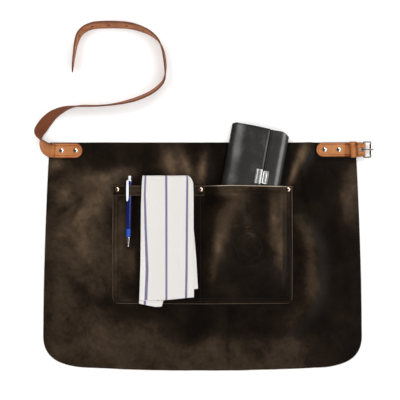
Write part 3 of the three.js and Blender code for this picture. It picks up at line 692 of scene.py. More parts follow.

# soft ridges and hollows where the hide was bent, and the painted sheen and shade laid along them (some rows paint
# only shade, such as the pen's shadow): x, y, direction, half length, half width, rise, painted light (negative for
# painted shade)
bends = [
    (-246, -138, 84, 76, 26, 3.0, 0.34),
    (-207, -94, 70, 42, 20, 2.0, 0.30),
    (-284, -92, 60, 32, 20, 1.2, 0.34),
    (-240, -212, 80, 26, 14, 1.5, 0.08),
    (-288, -172, 60, 20, 12, 1.0, 0.26),
    (-192, -150, 80, 30, 14, -0.8, -0.20),
    (-296, -128, 50, 28, 9, -1.0, -0.18),
    (-277, -122, 38, 34, 4.5, -1.4, -0.22),
    (-215, -318, -14, 62, 15, -1.0, -0.26),
    (-255, -290, -35, 30, 12, -0.6, -0.14),
    (-170, -335, -20, 45, 13, -0.5, -0.15),
    (-304, -34, 0, 24, 17, 0.8, 0.52),
    (-176, -54, 8, 62, 15, 1.8, 0.40),
    (-118, -42, 90, 34, 13, -0.8, -0.30),
    (-66, -36, -76, 48, 19, 4.4, 0.82),
    (-34, -36, -74, 44, 14, 3.2, 0.78),
    (0, -42, 84, 36, 12, 2.4, 0.80),
    (24, -56, 88, 44, 9, -0.8, -0.40),
    (46, -16, 84, 22, 12, -0.6, -0.70),
    (203, -20, 68, 42, 12, 6.0, 0.92),
    (186, -58, 70, 22, 6, 3.0, 0.40),
    (168, -48, 85, 34, 10, -0.8, -0.55),
    (212, -172, -58, 40, 15, 4.5, 0.44),
    (226, -238, -84, 58, 18, 6.0, 0.46),
    (220, -305, 76, 44, 17, 5.6, 0.26),
    (192, -352, 48, 40, 17, 4.0, 0.30),
    (149, -146, 90, 66, 14, 2.4, 0.70),
    (168, -152, 90, 34, 10, 0.0, 0.30),
    (84, -165, 90, 84, 42, 0.0, 0.12),
    (304, -140, 90, 60, 20, 0.0, 0.16),
    (-240, -235, 90, 30, 26, 0.0, 0.10),
    (170, -100, 90, 30, 10, 0.0, 0.60),
    (163, -218, 86, 40, 13, 1.0, 0.54),
    (36, -194, 76, 66, 18, 1.6, 0.52),
    (64, -118, 60, 42, 22, 1.0, 0.52),
    (92, -160, 88, 60, 20, 0.6, 0.20),
    (48, -92, 0, 28, 10, 0.0, 0.50),
    (-142, -140, 90, 52, 8, 0.0, -0.30),
    (-150, -292, 0, 40, 20, 0.0, -0.20),
    (52, -402, 90, 46, 5, -1.2, -0.18),
    (-25, -388, 60, 26, 14, -0.6, -0.22),
    (-108, -360, 0, 50, 16, 0.6, 0.12),
    (20, -395, 80, 30, 14, 0.4, 0.12),
    (192, -402, 0, 44, 28, 0.0, 0.02),
    (-146, -235, 90, 24, 9, 0.0, 0.36),
    (-163, -170, 90, 60, 9, 0.0, 0.20),
    (30, -200, 88, 50, 8, 0.0, 0.20),
    (226, -262, 88, 40, 12, 0.0, 0.12),
    (22, -262, 80, 20, 9, 0.0, 0.24),
    (314, -52, 90, 32, 11, 0.0, 0.30),
    (-184, -352, 0, 26, 12, 0.0, -0.14),
    (-240, -288, 0, 14, 10, 0.0, -0.15),
    (-262, -128, 62, 24, 5, -0.8, -0.30),
    (240, -45, 84, 60, 22, 0.0, -0.16),
    (-2, -240, 90, 70, 12, 0.0, -0.16),
    (264, -215, 86, 70, 14, 0.0, -0.14),
    (285, -118, 80, 40, 14, 1.2, 0.12),
    (302, -300, 84, 70, 14, 1.4, 0.08),
]
# wide areas of paler hide: x, y, direction, half length, half width
paleAreas = [
    (-240, -250, 90, 215, 112), (-60, -442, 0, 300, 44), (-190, -400, 0, 120, 42), (308, -95, 90, 62, 24),
    (120, -436, 0, 120, 46),
]
hideTone = {"dark": 0.105, "paleLift": 0.44}


def bendField(x, y, column):
    total = np.zeros(np.broadcast(x, y).shape)
    for cx, cy, direction, halfLength, halfWidth, rise, light in bends:
        c, s = math.cos(math.radians(direction)), math.sin(math.radians(direction))
        dx, dy = x / mm - cx, y / mm - cy
        if column == "rise":  # the crest lies on the far side of the lit slope
            dx, dy = dx - 0.5 * halfWidth * abs(s), dy + 0.5 * halfWidth * abs(c)
        u, v = dx * c + dy * s, -dx * s + dy * c
        u = u + v * 0.25 * np.sin(v / 30.0)
        total += (rise if column == "rise" else light) * np.exp(-(u / halfLength) ** 2 - (v / halfWidth) ** 2)
    return total


def paleField(x, y):
    dark = np.ones(np.broadcast(x, y).shape)
    for cx, cy, direction, halfLength, halfWidth in paleAreas:
        c, s = math.cos(math.radians(direction)), math.sin(math.radians(direction))
        dx, dy = x / mm - cx, y / mm - cy
        u, v = dx * c + dy * s, -dx * s + dy * c
        dark = dark * (1 - np.exp(-(u / halfLength) ** 4 - (v / halfWidth) ** 4))
    return 1 - dark


# what presses the leather flat, in millimetres
pressPlan = {"rivets": ((-177.4, -85.5), (-4, -85.5), (177.4, -85.5)), "rivetNear": 9, "rivetFar": 23,
             "penX": -152, "walletTop": (121.6, 43.9), "walletTurn": (0.9845, 0.1754), "strength": 0.9}


def heldDown(x, y):
    # 0 where rivets, straps, pen and wallet press the leather flat, 1 where it is free
    x, y = x / mm, y / mm
    free = np.ones(np.broadcast(x, y).shape)
    for px, py in pressPlan["rivets"]:
        free = free * ease(pressPlan["rivetNear"], pressPlan["rivetFar"], np.hypot(x - px, y - py))
    free = free * (1 - (1 - ease(-244, -236, x)) * ease(-42, -24, y))
    free = free * (1 - ease(224, 234, x) * ease(-42, -24, y))
    pen = (1 - ease(7, 20, np.abs(x - pressPlan["penX"]))) * between(y, -226, -206, -56, -40)
    towel = between(x, -140, -124, -12, 2) * between(y, -335, -318, -60, -48)
    drawn = between(x, -182, -166, -6, 8) * ease(-96, -80, y)  # pen and towel slide out here
    for pressed in (pen, towel, drawn):
        free = free * (1 - pressPlan["strength"] * pressed)
    (topX, topY), (c, t) = pressPlan["walletTop"], pressPlan["walletTurn"]
    across, along = (x - topX) * c + (y - topY) * t, -(x - topX) * t + (y - topY) * c
    wallet = (1 - ease(60, 70, np.abs(across))) * between(along, -200, -190, 0, 8)
    return free * (1 - 0.75 * wallet)


def waveHeight(x, y):
    rise = bendField(x, y, "rise") + 1.1 * layeredNoise(x / mm / 74 + 11.3, y / mm / 74 + 4.1, 5) + 1.0
    rise = np.maximum(rise, 0) * (1 - 0.7 * ease(-16, 4, y / mm))
    return rise * heldDown(x, y) * mm


def hideToneAndPaintedLight(x, y):
    broad = 0.09 * layeredNoise(x / mm / 48 + 3.7, y / mm / 48 + 9.2, 21)
    streaks = 0.08 * layeredNoise((x + 0.7 * y) / mm / 22 + 5, (y - 0.7 * x) / mm / 50 + 2, 31)
    mottle = 0.07 * layeredNoise(x / mm / 9 + 1, y / mm / 13 + 4, 37, 2)
    # the hide's own random mottling and paler areas, plus the painted sheen and shade of the bends
    tone = hideTone["dark"] + hideTone["paleLift"] * paleField(x, y) + bendField(x, y, "light")
    return np.clip(tone + broad + streaks + mottle, 0.02, 0.98)


def hemLift(y):
    return stack["hemLift"] * ease(-27 * mm, -11.5 * mm, y)


def panelTop(x, y):
    return stack["panelTop"] + hemLift(y) + waveHeight(x, y)


# apron panel with its folded waist hem

apronPlan = {"top": 11 * mm, "turnY": 9.9 * mm, "cell": 3.4 * mm, "hemGroove": -8.7 * mm, "flat": (0.66, 0.497)}


def apronEdges():
    corner = bezier([(-330, -390), (-330, -432), (-300, -449), (-255, -454)], 41)
    left = np.vstack([bezier([(-317, 9.9), (-329, -200), (-330, -390)], 60), corner[:21]]) * mm
    bottomLeft = np.vstack([corner[20:], bezier([(-255, -454), (-128, -461), (0, -461)], 60)[1:]]) * mm
    mirror = np.array([-1.0, 1.0])
    bottom = np.vstack([bottomLeft, (bottomLeft * mirror)[::-1][1:]])
    top = np.array([[-317, 9.9], [317, 9.9]]) * mm
    wobble = 0.5 * mm * layeredNoise(bottom[:, 0] / mm / 40 + 8, bottom[:, 1] * 0, 3)
    bottom[:, 1] += wobble * ease(0, 60 * mm, 0.3 - np.abs(bottom[:, 0]) + 0.06)
    return top, bottom, left, left * mirror


def makePanel():
    top, bottom, left, right = apronEdges()
    across = shares(0.64, apronPlan["cell"])
    down = shares(0.47, apronPlan["cell"])
    down = np.unique(np.concatenate([down, [0.012, 0.024, 0.044, 0.052, 0.058, 0.064]]))
    front = patch(top, bottom, left, right, across, down)
    x, y = front[..., 0], front[..., 1]
    z = stack["leather"] / 2 + hemLift(y) + waveHeight(x, y)
    front = np.stack([x, y, z], 2)
    # the waist edge turns over and lies against the back
    edgeX = x[0]
    hemRows = []
    hemEnd = -apronPlan["top"]
    zTop = z[0]
    for yAt in np.concatenate([[hemEnd, hemEnd + 0.6 * mm], np.linspace(hemEnd + 3 * mm, 9.4 * mm, 8)]):
        hemRows.append(np.stack([edgeX, np.full_like(edgeX, yAt), np.full_like(edgeX, stack["leather"] / 2)], 1))
    foldRows = []
    for a in np.linspace(-math.pi / 2, math.pi / 2, 9)[1:-1]:
        middle = (zTop + stack["leather"] / 2) / 2
        radius = (zTop - stack["leather"] / 2) / 2
        turnY = apronPlan["turnY"] + radius * math.cos(a)
        foldRows.append(np.stack([edgeX, turnY, middle + radius * math.sin(a)], 1))
    mid = np.concatenate([np.array(hemRows), np.array(foldRows), front])
    steps = np.linalg.norm(np.diff(mid, axis=0), axis=2)
    run = np.concatenate([np.zeros((1, mid.shape[1])), np.cumsum(steps, 0)])
    flat = pairs(mid[..., 0], run[:, mid.shape[1] // 2][:, None])
    marks = {"hideToneAndPaintedLight": hideToneAndPaintedLight(mid[..., 0], mid[..., 1])}
    grooves = -0.35 * mm * ridge(mid[..., 1] - apronPlan["hemGroove"], 0.8 * mm)
    grooves[:len(hemRows) + len(foldRows)] = 0
    panel = leatherSheet("apronPanel", mid, stack["leather"], flat, apronMaterials, marks, relief=grooves)
    area = float(np.sum(steps.mean(1) * (mid[:-1, -1, 0] - mid[:-1, 0, 0])))
    return panel, area


panel, panelArea = makePanel()
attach(panel, "apron")
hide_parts("apron_panel", "waist_hem")
print("apron panel made, flat area", round(panelArea, 4))


# patch pocket

pocketPlan = {"half": 186 * mm, "top": -78.4 * mm, "bottom": -322 * mm, "corner": 13 * mm, "divider": -4 * mm,
              "cell": 1.7 * mm, "rim": 1.1 * mm, "stitchInset": 3.6 * mm, "secondInset": 10 * mm,
              "mouthSeam": -91.5 * mm}
walletPlan = {"x": 121.6 * mm, "y": 43.9 * mm, "tilt": -10.1, "width": 121 * mm, "length": 190 * mm,
              "thick": 16 * mm, "base": 4.2 * mm, "leather": 1.8 * mm}
rosette = {"x": 95 * mm, "y": -204 * mm, "size": 34 * mm, "depth": 0.45 * mm}


def pocketBulge(x, y):
    rise = walletPlan["base"] + walletPlan["thick"] + 0.5 * mm - stack["pocketBase"]
    across = between(x / mm, 2, 34, 162.5, 173)
    down = ease(-305, -172, y / mm)
    return rise * across * down


def rosetteDepth(x, y):
    # a plain eight-petalled flower in a ring, pressed in with a blind stamp
    dx, dy = x - rosette["x"], y - rosette["y"]
    r = np.hypot(dx, dy) / rosette["size"]
    a = np.arctan2(dy, dx)
    petals = 0.30 + 0.42 * np.abs(np.cos(4 * a))
    pressed = ridge(r - petals, 0.045) + ridge(r - 0.17, 0.04) + ridge(r - 0.92, 0.035) + ridge(r - 1.06, 0.03)
    return np.clip(pressed, 0, 1) * rosette["depth"]


def pocketTop(x, y):
    return stack["pocketFace"] + waveHeight(x, y) + pocketBulge(x, y)


def pocketEdges():
    half, top, bottom, r = (pocketPlan[k] for k in ("half", "top", "bottom", "corner"))
    arcs = []
    for start in (0, math.pi / 4):
        turn = np.linspace(start, start + math.pi / 4, 8)
        arcs.append(pairs(-half + r - r * np.cos(turn), bottom + r - r * np.sin(turn)))
    left = np.vstack([[(-half, top), (-half - 0.6 * mm, (top + bottom) / 2)], arcs[0]])
    lower = arcs[1]
    base = np.vstack([lower, [(0, bottom - 1.2 * mm)], (lower * [-1, 1])[::-1]])
    mouth = np.array([(-half, top), (-4 * mm, top), (20 * mm, top + 0.4 * mm), (60 * mm, top + 1.4 * mm),
                      (110 * mm, top + 0.6 * mm), (150 * mm, top - 0.4 * mm), (half, top - 1.2 * mm)])
    right = left * [-1, 1]
    right[0] = mouth[-1]
    return mouth, base, left, right


def distanceInside(x, y):
    # how far a point lies inside the pocket's sewn sides and bottom
    half, bottom = pocketPlan["half"], pocketPlan["bottom"]
    return np.minimum(half - np.abs(x), y - bottom)


def makePocket():
    mouth, base, left, right = pocketEdges()
    across = shares(0.372, pocketPlan["cell"], pocketPlan["rim"])
    down = shares(0.244, pocketPlan["cell"], pocketPlan["rim"])
    plan = patch(mouth, base, left, right, across, down)
    x, y = plan[..., 0], plan[..., 1]
    z = stack["pocketBase"] + stack["pocketLeather"] / 2 + waveHeight(x, y) + pocketBulge(x, y)
    inset = distanceInside(x, y)
    relief = -0.35 * mm * ridge(inset - pocketPlan["stitchInset"], 1.1 * mm)
    relief -= 0.40 * mm * ridge(inset - pocketPlan["secondInset"], 1.2 * mm)
    relief -= 0.45 * mm * ridge(x - pocketPlan["divider"], 1.3 * mm) * ease(-84, -90, y / mm)
    hemLine = ridge(y - pocketPlan["mouthSeam"], 1.0 * mm) * between(x / mm, 26, 32, 166, 172)
    relief -= 0.35 * mm * hemLine
    relief -= rosetteDepth(x, y)
    mid = np.stack([x, y, z], 2)
    # the raised strip between the two stitch rows gets painted highlight
    tint = hideToneAndPaintedLight(x, y) + 0.10 * ridge(inset - 6.8 * mm, 2.2 * mm)
    tint -= 0.16 * ridge(inset - pocketPlan["secondInset"], 1.4 * mm)
    tint -= 0.12 * ridge(inset - pocketPlan["stitchInset"], 1.2 * mm)
    tint += 0.08 * ridge(inset - 0.4 * mm, 1.3 * mm)
    # painted highlight along the mouth where the wallet lifts it
    tint += 0.20 * ridge(y - pocketPlan["top"] + 3 * mm, 5 * mm) * ease(4, 30, x / mm)
    tint -= 0.14 * hemLine
    tint -= 0.20 * rosetteDepth(x, y) / rosette["depth"]
    atCut = 1 - ease(0.9, 1.4, np.minimum(inset / mm, (y[:1] - y) / mm))
    # the mouth's raw cut edge, made brighter over the wallet as painted highlight
    mouthEdgeAndHighlight = (1 - ease(0.9, 1.4, (y[:1] - y) / mm)) * (0.35 + 0.6 * between(x / mm, 10, 40, 168, 180))
    tint = tint * (1 - atCut) + atCut * 0.25 + mouthEdgeAndHighlight * 0.66
    relief = relief - 0.45 * mm * atCut
    marks = {"hideToneAndPaintedLight": np.clip(tint, 0.02, 0.98)}
    materials = [apronLeather, apronBack, pocketEdge]
    return leatherSheet("patchPocket", mid, stack["pocketLeather"], pairs(x, y), materials, marks, relief=relief,
                        rawRim=True)


pocket = makePocket()
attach(pocket, "apron")
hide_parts("pocket_panel")
print("patch pocket made")


# towel band

bandPlan = {"left": -185.5 * mm, "right": 3 * mm, "top": -78.7 * mm, "width": 19.7 * mm, "thick": 1.6 * mm,
            "penX": -151.5 * mm, "penRadius": 5.1 * mm, "penZ": 9.7 * mm, "towelLift": 5.9 * mm, "base": 4.0 * mm,
            "seamInset": 4.2 * mm}


def bandHeight(x):
    flat = bandPlan["base"] + bandPlan["thick"] / 2
    radius = bandPlan["penRadius"] + 0.6 * mm + bandPlan["thick"] / 2
    shoulder = radius * math.sqrt(0.5)
    aside = np.abs(x - bandPlan["penX"])
    arch = np.sqrt(np.maximum(radius ** 2 - aside ** 2, 0))
    overPen = bandPlan["penZ"] + np.where(aside < shoulder, arch, 2 * shoulder - aside)
    overTowel = flat + bandPlan["towelLift"] * between(x / mm, -152, -140, -17.5, -9)
    return np.maximum(flat, np.maximum(overPen, overTowel))


def makeBand():
    xs = np.linspace(bandPlan["left"], bandPlan["right"], 150)
    zs = bandHeight(xs)
    for _ in range(2):
        zs[1:-1] = np.maximum(zs[1:-1], (zs[:-2] + 2 * zs[1:-1] + zs[2:]) / 4)
    line = np.stack([xs, zs], 1)
    at = shares(lineLength(line), 1.6 * mm)
    line = alongLine(line, at)
    across = shares(bandPlan["width"], 1.3 * mm)
    y = bandPlan["top"] - across[:, None] * bandPlan["width"] + 0.5 * mm * np.sin(line[:, 0] / mm / 31)
    mid = pairs(line[:, 0], y, line[:, 1])
    x = mid[..., 0]
    fromEdge = np.minimum(across, 1 - across)[:, None] * bandPlan["width"]
    fromLine = fromEdge - bandPlan["seamInset"]
    relief = np.broadcast_to(-0.35 * mm * ridge(fromLine, 0.9 * mm), x.shape)
    flat = pairs(at * lineLength(line), y)
    # painted highlight where the band rides up over the pen and towel; its cut edges are paler
    tint = 0.30 + 0.28 * between(x / mm, -160, -146, -128, -118) + 0.2 * ridge(fromEdge, 1.6 * mm)
    marks = {"hideToneAndPaintedLight": np.clip(tint - 0.15 * ridge(fromLine, 1.2 * mm), 0.02, 0.98)}
    made = leatherSheet("towelBand", mid, bandPlan["thick"], flat, apronMaterials, marks, relief=relief)
    return made, lineLength(line)


band, bandLength = makeBand()
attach(band, "apron")
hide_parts("towel_band")
print("towel band made")


# seams

seamPlan = {"pitch": 4.2 * mm, "length": 3.1 * mm, "radius": 0.42 * mm, "sink": 0.30 * mm}


def surfaceLine(points, top):
    points = alongLine(np.asarray(points, float), np.linspace(0, 1, 240))
    z = top(points[:, 0], points[:, 1]) - seamPlan["sink"]
    return np.column_stack([points, z])


def pocketSeam(inset):
    half, top, bottom, r = (pocketPlan[k] for k in ("half", "top", "bottom", "corner"))
    rr = max(r - inset, 1 * mm)
    arc = [(-half + r - rr * math.cos(a), bottom + r - rr * math.sin(a)) for a in np.linspace(0, math.pi / 2, 12)]
    left = [(-half + inset, top - 2 * mm)] + arc
    return left + [(-x, y) for x, y in reversed(left)]


def makeSeams():
    divider, mouthSeam, hem = pocketPlan["divider"], pocketPlan["mouthSeam"], apronPlan["hemGroove"]
    routes = [
        (pocketSeam(pocketPlan["stitchInset"]), pocketTop),
        (pocketSeam(pocketPlan["secondInset"]), pocketTop),
        ([(divider, -99 * mm), (divider, -318 * mm)], pocketTop),
        ([(29 * mm, mouthSeam), (170 * mm, mouthSeam)], pocketTop),
        ([(-312 * mm, hem), (312 * mm, hem)], panelTop),
    ]
    lines = [surfaceLine(points, top) for points, top in routes]
    xs = np.linspace(-168 * mm, -13 * mm, 160)
    for y in (-82.9 * mm, -94.2 * mm):
        lines.append(pairs(xs, y, bandHeight(xs) + bandPlan["thick"] / 2 - seamPlan["sink"]))
    return joined("apronSeams", [stitchRow("seam", line, (0, 0, 1), darkThread, seamPlan) for line in lines])


seams = makeSeams()
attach(seams, "apron")
print("seams sewn")


# belt strap

strapPlan = {"width": 30 * mm, "thick": 3 * mm, "crease": 4.6 * mm, "holes": 5, "pitch": 36 * mm, "first": 76 * mm,
             "holeRadius": 2.5 * mm, "endLine": 57 * mm, "tipLength": 26 * mm}
# how pale the strap is along its length, in millimetres from the riveted end; beyond the flat end the lower values
# are painted shade where the strap stands on edge, darkest through the first bend
strapTones = {"at": [0, 60, 100, 180, 330, 420, 520, 600, 740],
              "tone": [0.62, 0.60, 0.5, 0.28, 0.26, 0.38, 0.40, 0.44, 0.4]}
# x, y of the strap's centre, its roll in degrees, and the height of its lower edge, in millimetres
strapRoute = [
    (-249.4, -5, 0, 4.2), (-270, -5, 0, 4.2), (-290, -5, 0, 4.2), (-304, -5, 3, 4.2), (-312, -4.4, 10, 4.2),
    (-319.5, -1.6, 26, 4.3), (-326.3, 4.2, 48, 4.1), (-332.5, 11.5, 68, 3.0), (-337.2, 19.3, 92, 1.8),
    (-339.6, 26.6, 114, 0.7), (-338.8, 33.5, 130, 0.3),
    (-333.7, 41.3, 138, 0.3), (-323.9, 54.6, 136, 0.3), (-311.5, 67.4, 125, 0.3), (-298, 76, 114, 0.3),
    (-284.1, 82, 103, 0.3), (-272, 85.2, 93, 0.3), (-250, 87.4, 85, 0.3), (-221, 87.6, 86, 0.3),
    (-196.5, 89.2, 86, 0.3), (-173.5, 92.6, 83, 0.3), (-159.6, 95.5, 80, 0.3), (-136.5, 101.9, 77, 0.3),
    (-108.9, 114.1, 77, 0.3),
    (-91, 127, 78, 0.3), (-81, 139.4, 82, 0.3), (-77.4, 151.9, 88, 0.3), (-77, 164.5, 93, 0.3),
    (-78.6, 184.3, 96, 0.3),
    (-83.2, 206, 94, 0.3), (-91.5, 223, 87, 0.3), (-106.6, 236.8, 79, 0.3), (-127.4, 246.9, 73, 0.3),
    (-150.4, 253.2, 69, 0.3), (-174, 255.2, 67, 0.3), (-200, 255.4, 66, 0.3), (-226, 253.4, 67, 0.3),
    (-243, 247, 70, 0.3),
    (-254.8, 235.6, 73, 0.3), (-261.6, 217, 80, 0.3), (-265.2, 195.7, 85, 0.3), (-268.1, 172.6, 88, 0.3),
    (-269.3, 156.9, 90, 0.3),
]


def bothSides(shares):
    # columns across a strap, closer together at its pressed border line
    return np.array([-v for v in reversed(shares)] + [0.0] + list(shares))


def strapLine():
    stations = []
    for x, y, roll, lift in strapRoute:
        a = math.radians(roll)
        half = (strapPlan["width"] * math.sin(a) + strapPlan["thick"] * abs(math.cos(a))) / 2
        stations.append((x, y, lift + half / mm, roll))
    return roundCurve(stations, 12)


def makeStrap():
    line = strapLine()
    centre = line[:, :3] * mm
    length = lineLength(centre)
    at = shares(length, 2.2 * mm)
    steps = np.linalg.norm(np.diff(centre, axis=0), axis=1)
    run = np.concatenate([[0], np.cumsum(steps)]) / length
    c = np.stack([np.interp(at, run, centre[:, k]) for k in range(3)], 1)
    roll = np.radians(np.interp(at, run, line[:, 3]))
    along = np.gradient(c, at, axis=0)
    along /= np.linalg.norm(along, axis=1, keepdims=True)
    level = pairs(along[:, 1], -along[:, 0], 0.0)
    level /= np.linalg.norm(level, axis=1, keepdims=True)
    raised = np.cross(level, along)
    side = level * np.cos(roll)[:, None] + raised * np.sin(roll)[:, None]
    half = strapPlan["width"] / 2
    s = at * length
    # a round end under the rivets and a blunt point at the tip
    wide = np.full_like(s, half)
    nearEnd = s < half
    wide[nearEnd] = np.sqrt(np.maximum(half ** 2 - (half - s[nearEnd]) ** 2, (0.5 * mm) ** 2))
    fromTip = length - s
    tip = np.clip(fromTip / strapPlan["tipLength"], 0, 1)
    wide = np.minimum(wide, half * np.sqrt(np.clip(1 - (1 - tip) ** 2.2, 0.0006, 1)))
    cols = bothSides([0.2, 0.4, 0.62, 0.67, 0.69, 0.71, 0.76, 0.86, 0.965, 1])
    mid = c[:, None] + side[:, None] * (cols[None, :, None] * wide[:, None, None])
    across = cols[None, :] * wide[:, None]
    inset = np.minimum(wide[:, None] - np.abs(across), np.minimum(s, fromTip)[:, None])
    relief = -0.30 * mm * ridge(inset - strapPlan["crease"], 0.55 * mm)
    relief -= 0.45 * mm * ridge(s[:, None] - strapPlan["endLine"], 0.9 * mm)
    relief -= 0.5 * mm * ridge(inset, 0.5 * mm)
    flat = pairs(s[:, None], across)
    tone = np.interp(s / mm, strapTones["at"], strapTones["tone"])[:, None]
    tone = tone + 0.06 * layeredNoise(s[:, None] / mm / 14, across / mm / 10, 71)
    tone -= strapWear(inset, strapPlan["crease"])
    tone -= 0.35 * ridge(s[:, None] - strapPlan["endLine"], 1.0 * mm)
    marks = {"strapTone": np.clip(tone, 0.02, 0.98)}
    strap = leatherSheet("beltStrap", mid, strapPlan["thick"], flat, strapMaterials, marks, relief=relief,
                         flip=True)
    tools = []
    for i in range(strapPlan["holes"]):
        where = (length - strapPlan["first"] - i * strapPlan["pitch"]) / length
        k = int(np.argmin(np.abs(at - where)))
        normal = np.cross(side[k], along[k])
        tools.append(punch("hole", c[k], normal, strapPlan["holeRadius"], 8 * mm))
    for x in (-292.8, -263.5):
        tools.append(punch("hole", (x * mm, -5 * mm, 5.7 * mm), (0, 0, 1), 2.1 * mm, 8 * mm))
    cutAway(strap, tools)
    return strap, length


def strapWear(inset, crease):
    # how much darker the burnished rim and the pressed border line are
    line = 0.34 * ridge(inset - crease, 0.75 * mm)
    return line + 0.5 * (1 - ease(0.3, 1.6, inset / mm))


def punch(name, centre, axis, radius, depth, sides=20):
    turn = Vector(axis).to_track_quat("Z", "Y").to_matrix().to_4x4()
    place = Matrix.Translation(Vector(centre)) @ turn
    angles = np.linspace(0, 2 * math.pi, sides, endpoint=False)
    low = np.stack([radius * np.cos(angles), radius * np.sin(angles), np.full(sides, -depth / 2)], 1)
    verts = placed(np.vstack([low, low + [0, 0, depth]]), place)
    faces = [f[::-1] for f in endFaces(2, sides)] + tubeFaces(2, sides)
    return makeObject(name, verts, faces, [strapHole])


strap, strapLength = makeStrap()
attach(strap, "apron")
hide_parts("belt_strap")
print("belt strap made, length", round(strapLength, 4))


# buckle tab, keeper and buckle

tabPlan = {"y": -3 * mm, "width": 29 * mm, "left": 236 * mm, "thick": 2.2 * mm, "barX": 332.5 * mm, "barZ": 12 * mm,
           "foldRadius": 4.1 * mm, "crease": 4.2 * mm}


def tabLine():
    lower = stack["waistTop"] + 0.3 * mm + tabPlan["thick"] / 2
    lift = 2.1 * mm
    rise = lambda x: lift * ease(290, 302, x / mm)
    under = np.arange(240, 318.1, 2.0) * mm
    pts = [(x, lower + rise(x)) for x in under]
    bend, fold = math.pi * 0.84, tabPlan["foldRadius"]
    for a in np.linspace(-bend, bend, 21):
        pts.append((tabPlan["barX"] + fold * math.cos(a), tabPlan["barZ"] + fold * math.sin(a)))
    over = np.arange(318, 235.9, -2.0) * mm
    pts += [(x, lower + tabPlan["thick"] + 0.3 * mm + rise(x)) for x in over]
    return np.array(pts)


def makeTab():
    line = tabLine()
    length = lineLength(line)
    at = shares(length, 1.5 * mm)
    p = alongLine(line, at)
    s = at * length
    half = tabPlan["width"] / 2
    narrow = 1.6 * mm * ease(327, 334, p[:, 0] / mm)
    wide = half - narrow
    fromLeft = p[:, 0] - tabPlan["left"]
    roundEnd = fromLeft < half
    wide = np.where(roundEnd, np.sqrt(np.maximum(half ** 2 - (half - fromLeft) ** 2, (0.6 * mm) ** 2)), wide)
    cols = bothSides([0.15, 0.35, 0.6, 0.68, 0.7, 0.72, 0.76, 0.85, 0.96, 1])
    across = cols[None, :] * wide[:, None]
    mid = pairs(p[:, 0:1], tabPlan["y"] + across, p[:, 1:2])
    inset = np.minimum(wide[:, None] - np.abs(across), np.minimum(s, length - s)[:, None])
    relief = -0.28 * mm * ridge(inset - tabPlan["crease"], 0.6 * mm)
    relief -= 0.4 * mm * ridge(inset, 0.5 * mm)
    flat = pairs(s[:, None], across)
    tone = 0.66 + 0.06 * layeredNoise(s[:, None] / mm / 14, across / mm / 10, 73)
    tone -= strapWear(inset, tabPlan["crease"])
    over, x = (s > length / 2)[:, None], mid[..., 0] / mm
    tone -= over * (0.26 * between(x, 295, 298, 318, 324) + 0.3 * ridge(x - 296, 0.9))  # painted shade where the upper layer rises into the keeper and lies under it
    marks = {"strapTone": np.clip(tone, 0.02, 0.98)}
    tab = leatherSheet("buckleTab", mid, tabPlan["thick"], flat, strapMaterials, marks, relief=relief, flip=True)
    slotTool = punchSlot(324 * mm, 345 * mm, tabPlan["y"], 2.6 * mm)
    holes = [punch("hole", (x * mm, tabPlan["y"], 6.6 * mm), (0, 0, 1), 2.1 * mm, 9 * mm) for x in (253, 282.4)]
    return cutAway(tab, [slotTool, *holes]), length


def punchSlot(x0, x1, y, half):
    turn = np.linspace(-math.pi / 2, math.pi / 2, 12)
    pts = [(x0 + half - half * math.cos(a), y - half * math.sin(a)) for a in turn]
    pts += [(x1, y - half), (x1, y + half)]
    n = len(pts)
    verts = [(x, yy, -5 * mm) for x, yy in pts] + [(x, yy, 40 * mm) for x, yy in pts]
    tool = makeObject("slotTool", verts, tubeFaces(2, n) + endFaces(2, n), [strapHole])
    faceOutward(tool)
    return tool


tab, tabLength = makeTab()
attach(tab, "apron")
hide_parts("buckle_tab")

keeperPlan = {"x": 313 * mm, "length": 12 * mm, "wall": 1.5 * mm, "inner": 15.3 * mm, "low": 4.2 * mm,
              "high": 17.4 * mm, "corner": 3 * mm, "skew": 2.4 * mm, "crease": 2.6 * mm}


def makeKeeper():
    inner, w = keeperPlan["inner"], keeperPlan["wall"]
    left, right = tabPlan["y"] - inner - w / 2, tabPlan["y"] + inner + w / 2
    low, high = keeperPlan["low"] + w / 2, keeperPlan["high"] - w / 2
    ring, _ = roundCorners(left, right, low, high, keeperPlan["corner"], 10)
    ring = np.vstack([ring, ring[:1]])
    loop = alongLine(ring, np.linspace(0, 1, 97))[:-1]
    y, z = loop[:, :1], loop[:, 1:]
    # the upper side of the loop leans towards the tab
    skew = -keeperPlan["skew"] * ease(low, high, z) * ease(-8, 14, y / mm)
    length = keeperPlan["length"]
    across = shares(length, 1.2 * mm)
    x = keeperPlan["x"] + (across[None, :] - 0.5) * length + skew
    flat = pairs(np.linspace(0, lineLength(ring), 97)[:-1, None], across * length)
    inset = np.minimum(across, 1 - across) * length
    relief = np.broadcast_to(-0.22 * mm * ridge(inset - keeperPlan["crease"], 0.5 * mm), x.shape)
    marks = {"strapTone": np.clip(0.62 - 0.7 * strapWear(inset, keeperPlan["crease"]), 0.02, 0.98)}
    keeper = leatherSheet("keeperLoop", pairs(x, y, z), w, flat, strapMaterials, marks, relief=relief, closed=True)
    return keeper, lineLength(ring)


keeper, keeperRound = makeKeeper()
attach(keeper, "keeper")
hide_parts("keeper_loop")
print("tab and keeper made")

bucklePlan = {"bar": 3.4 * mm, "length": 16.4 * mm, "half": 17.6 * mm, "corner": 5.2 * mm, "rollerOuter": 3.5 * mm,
              "rollerInner": 2.7 * mm, "rollerHalf": 12.2 * mm, "squareness": 2.6, "prongRod": 0.85 * mm}


def sweptRing(name, path, profile, material):
    # a closed path swept with a closed profile of (outwards, up)
    path = np.asarray(path, float)
    n = len(path)
    along = np.roll(path, -1, 0) - np.roll(path, 1, 0)
    along /= np.linalg.norm(along, axis=1, keepdims=True)
    up = np.array([0.0, 0, 1])
    out = np.cross(along, up)
    verts = []
    for k in range(n):
        for a, b in profile:
            verts.append(path[k] + out[k] * a + up * b)
    obj = makeObject(name, verts, tubeFaces(n, len(profile), closed=True), [material])
    faceOutward(obj)
    return obj


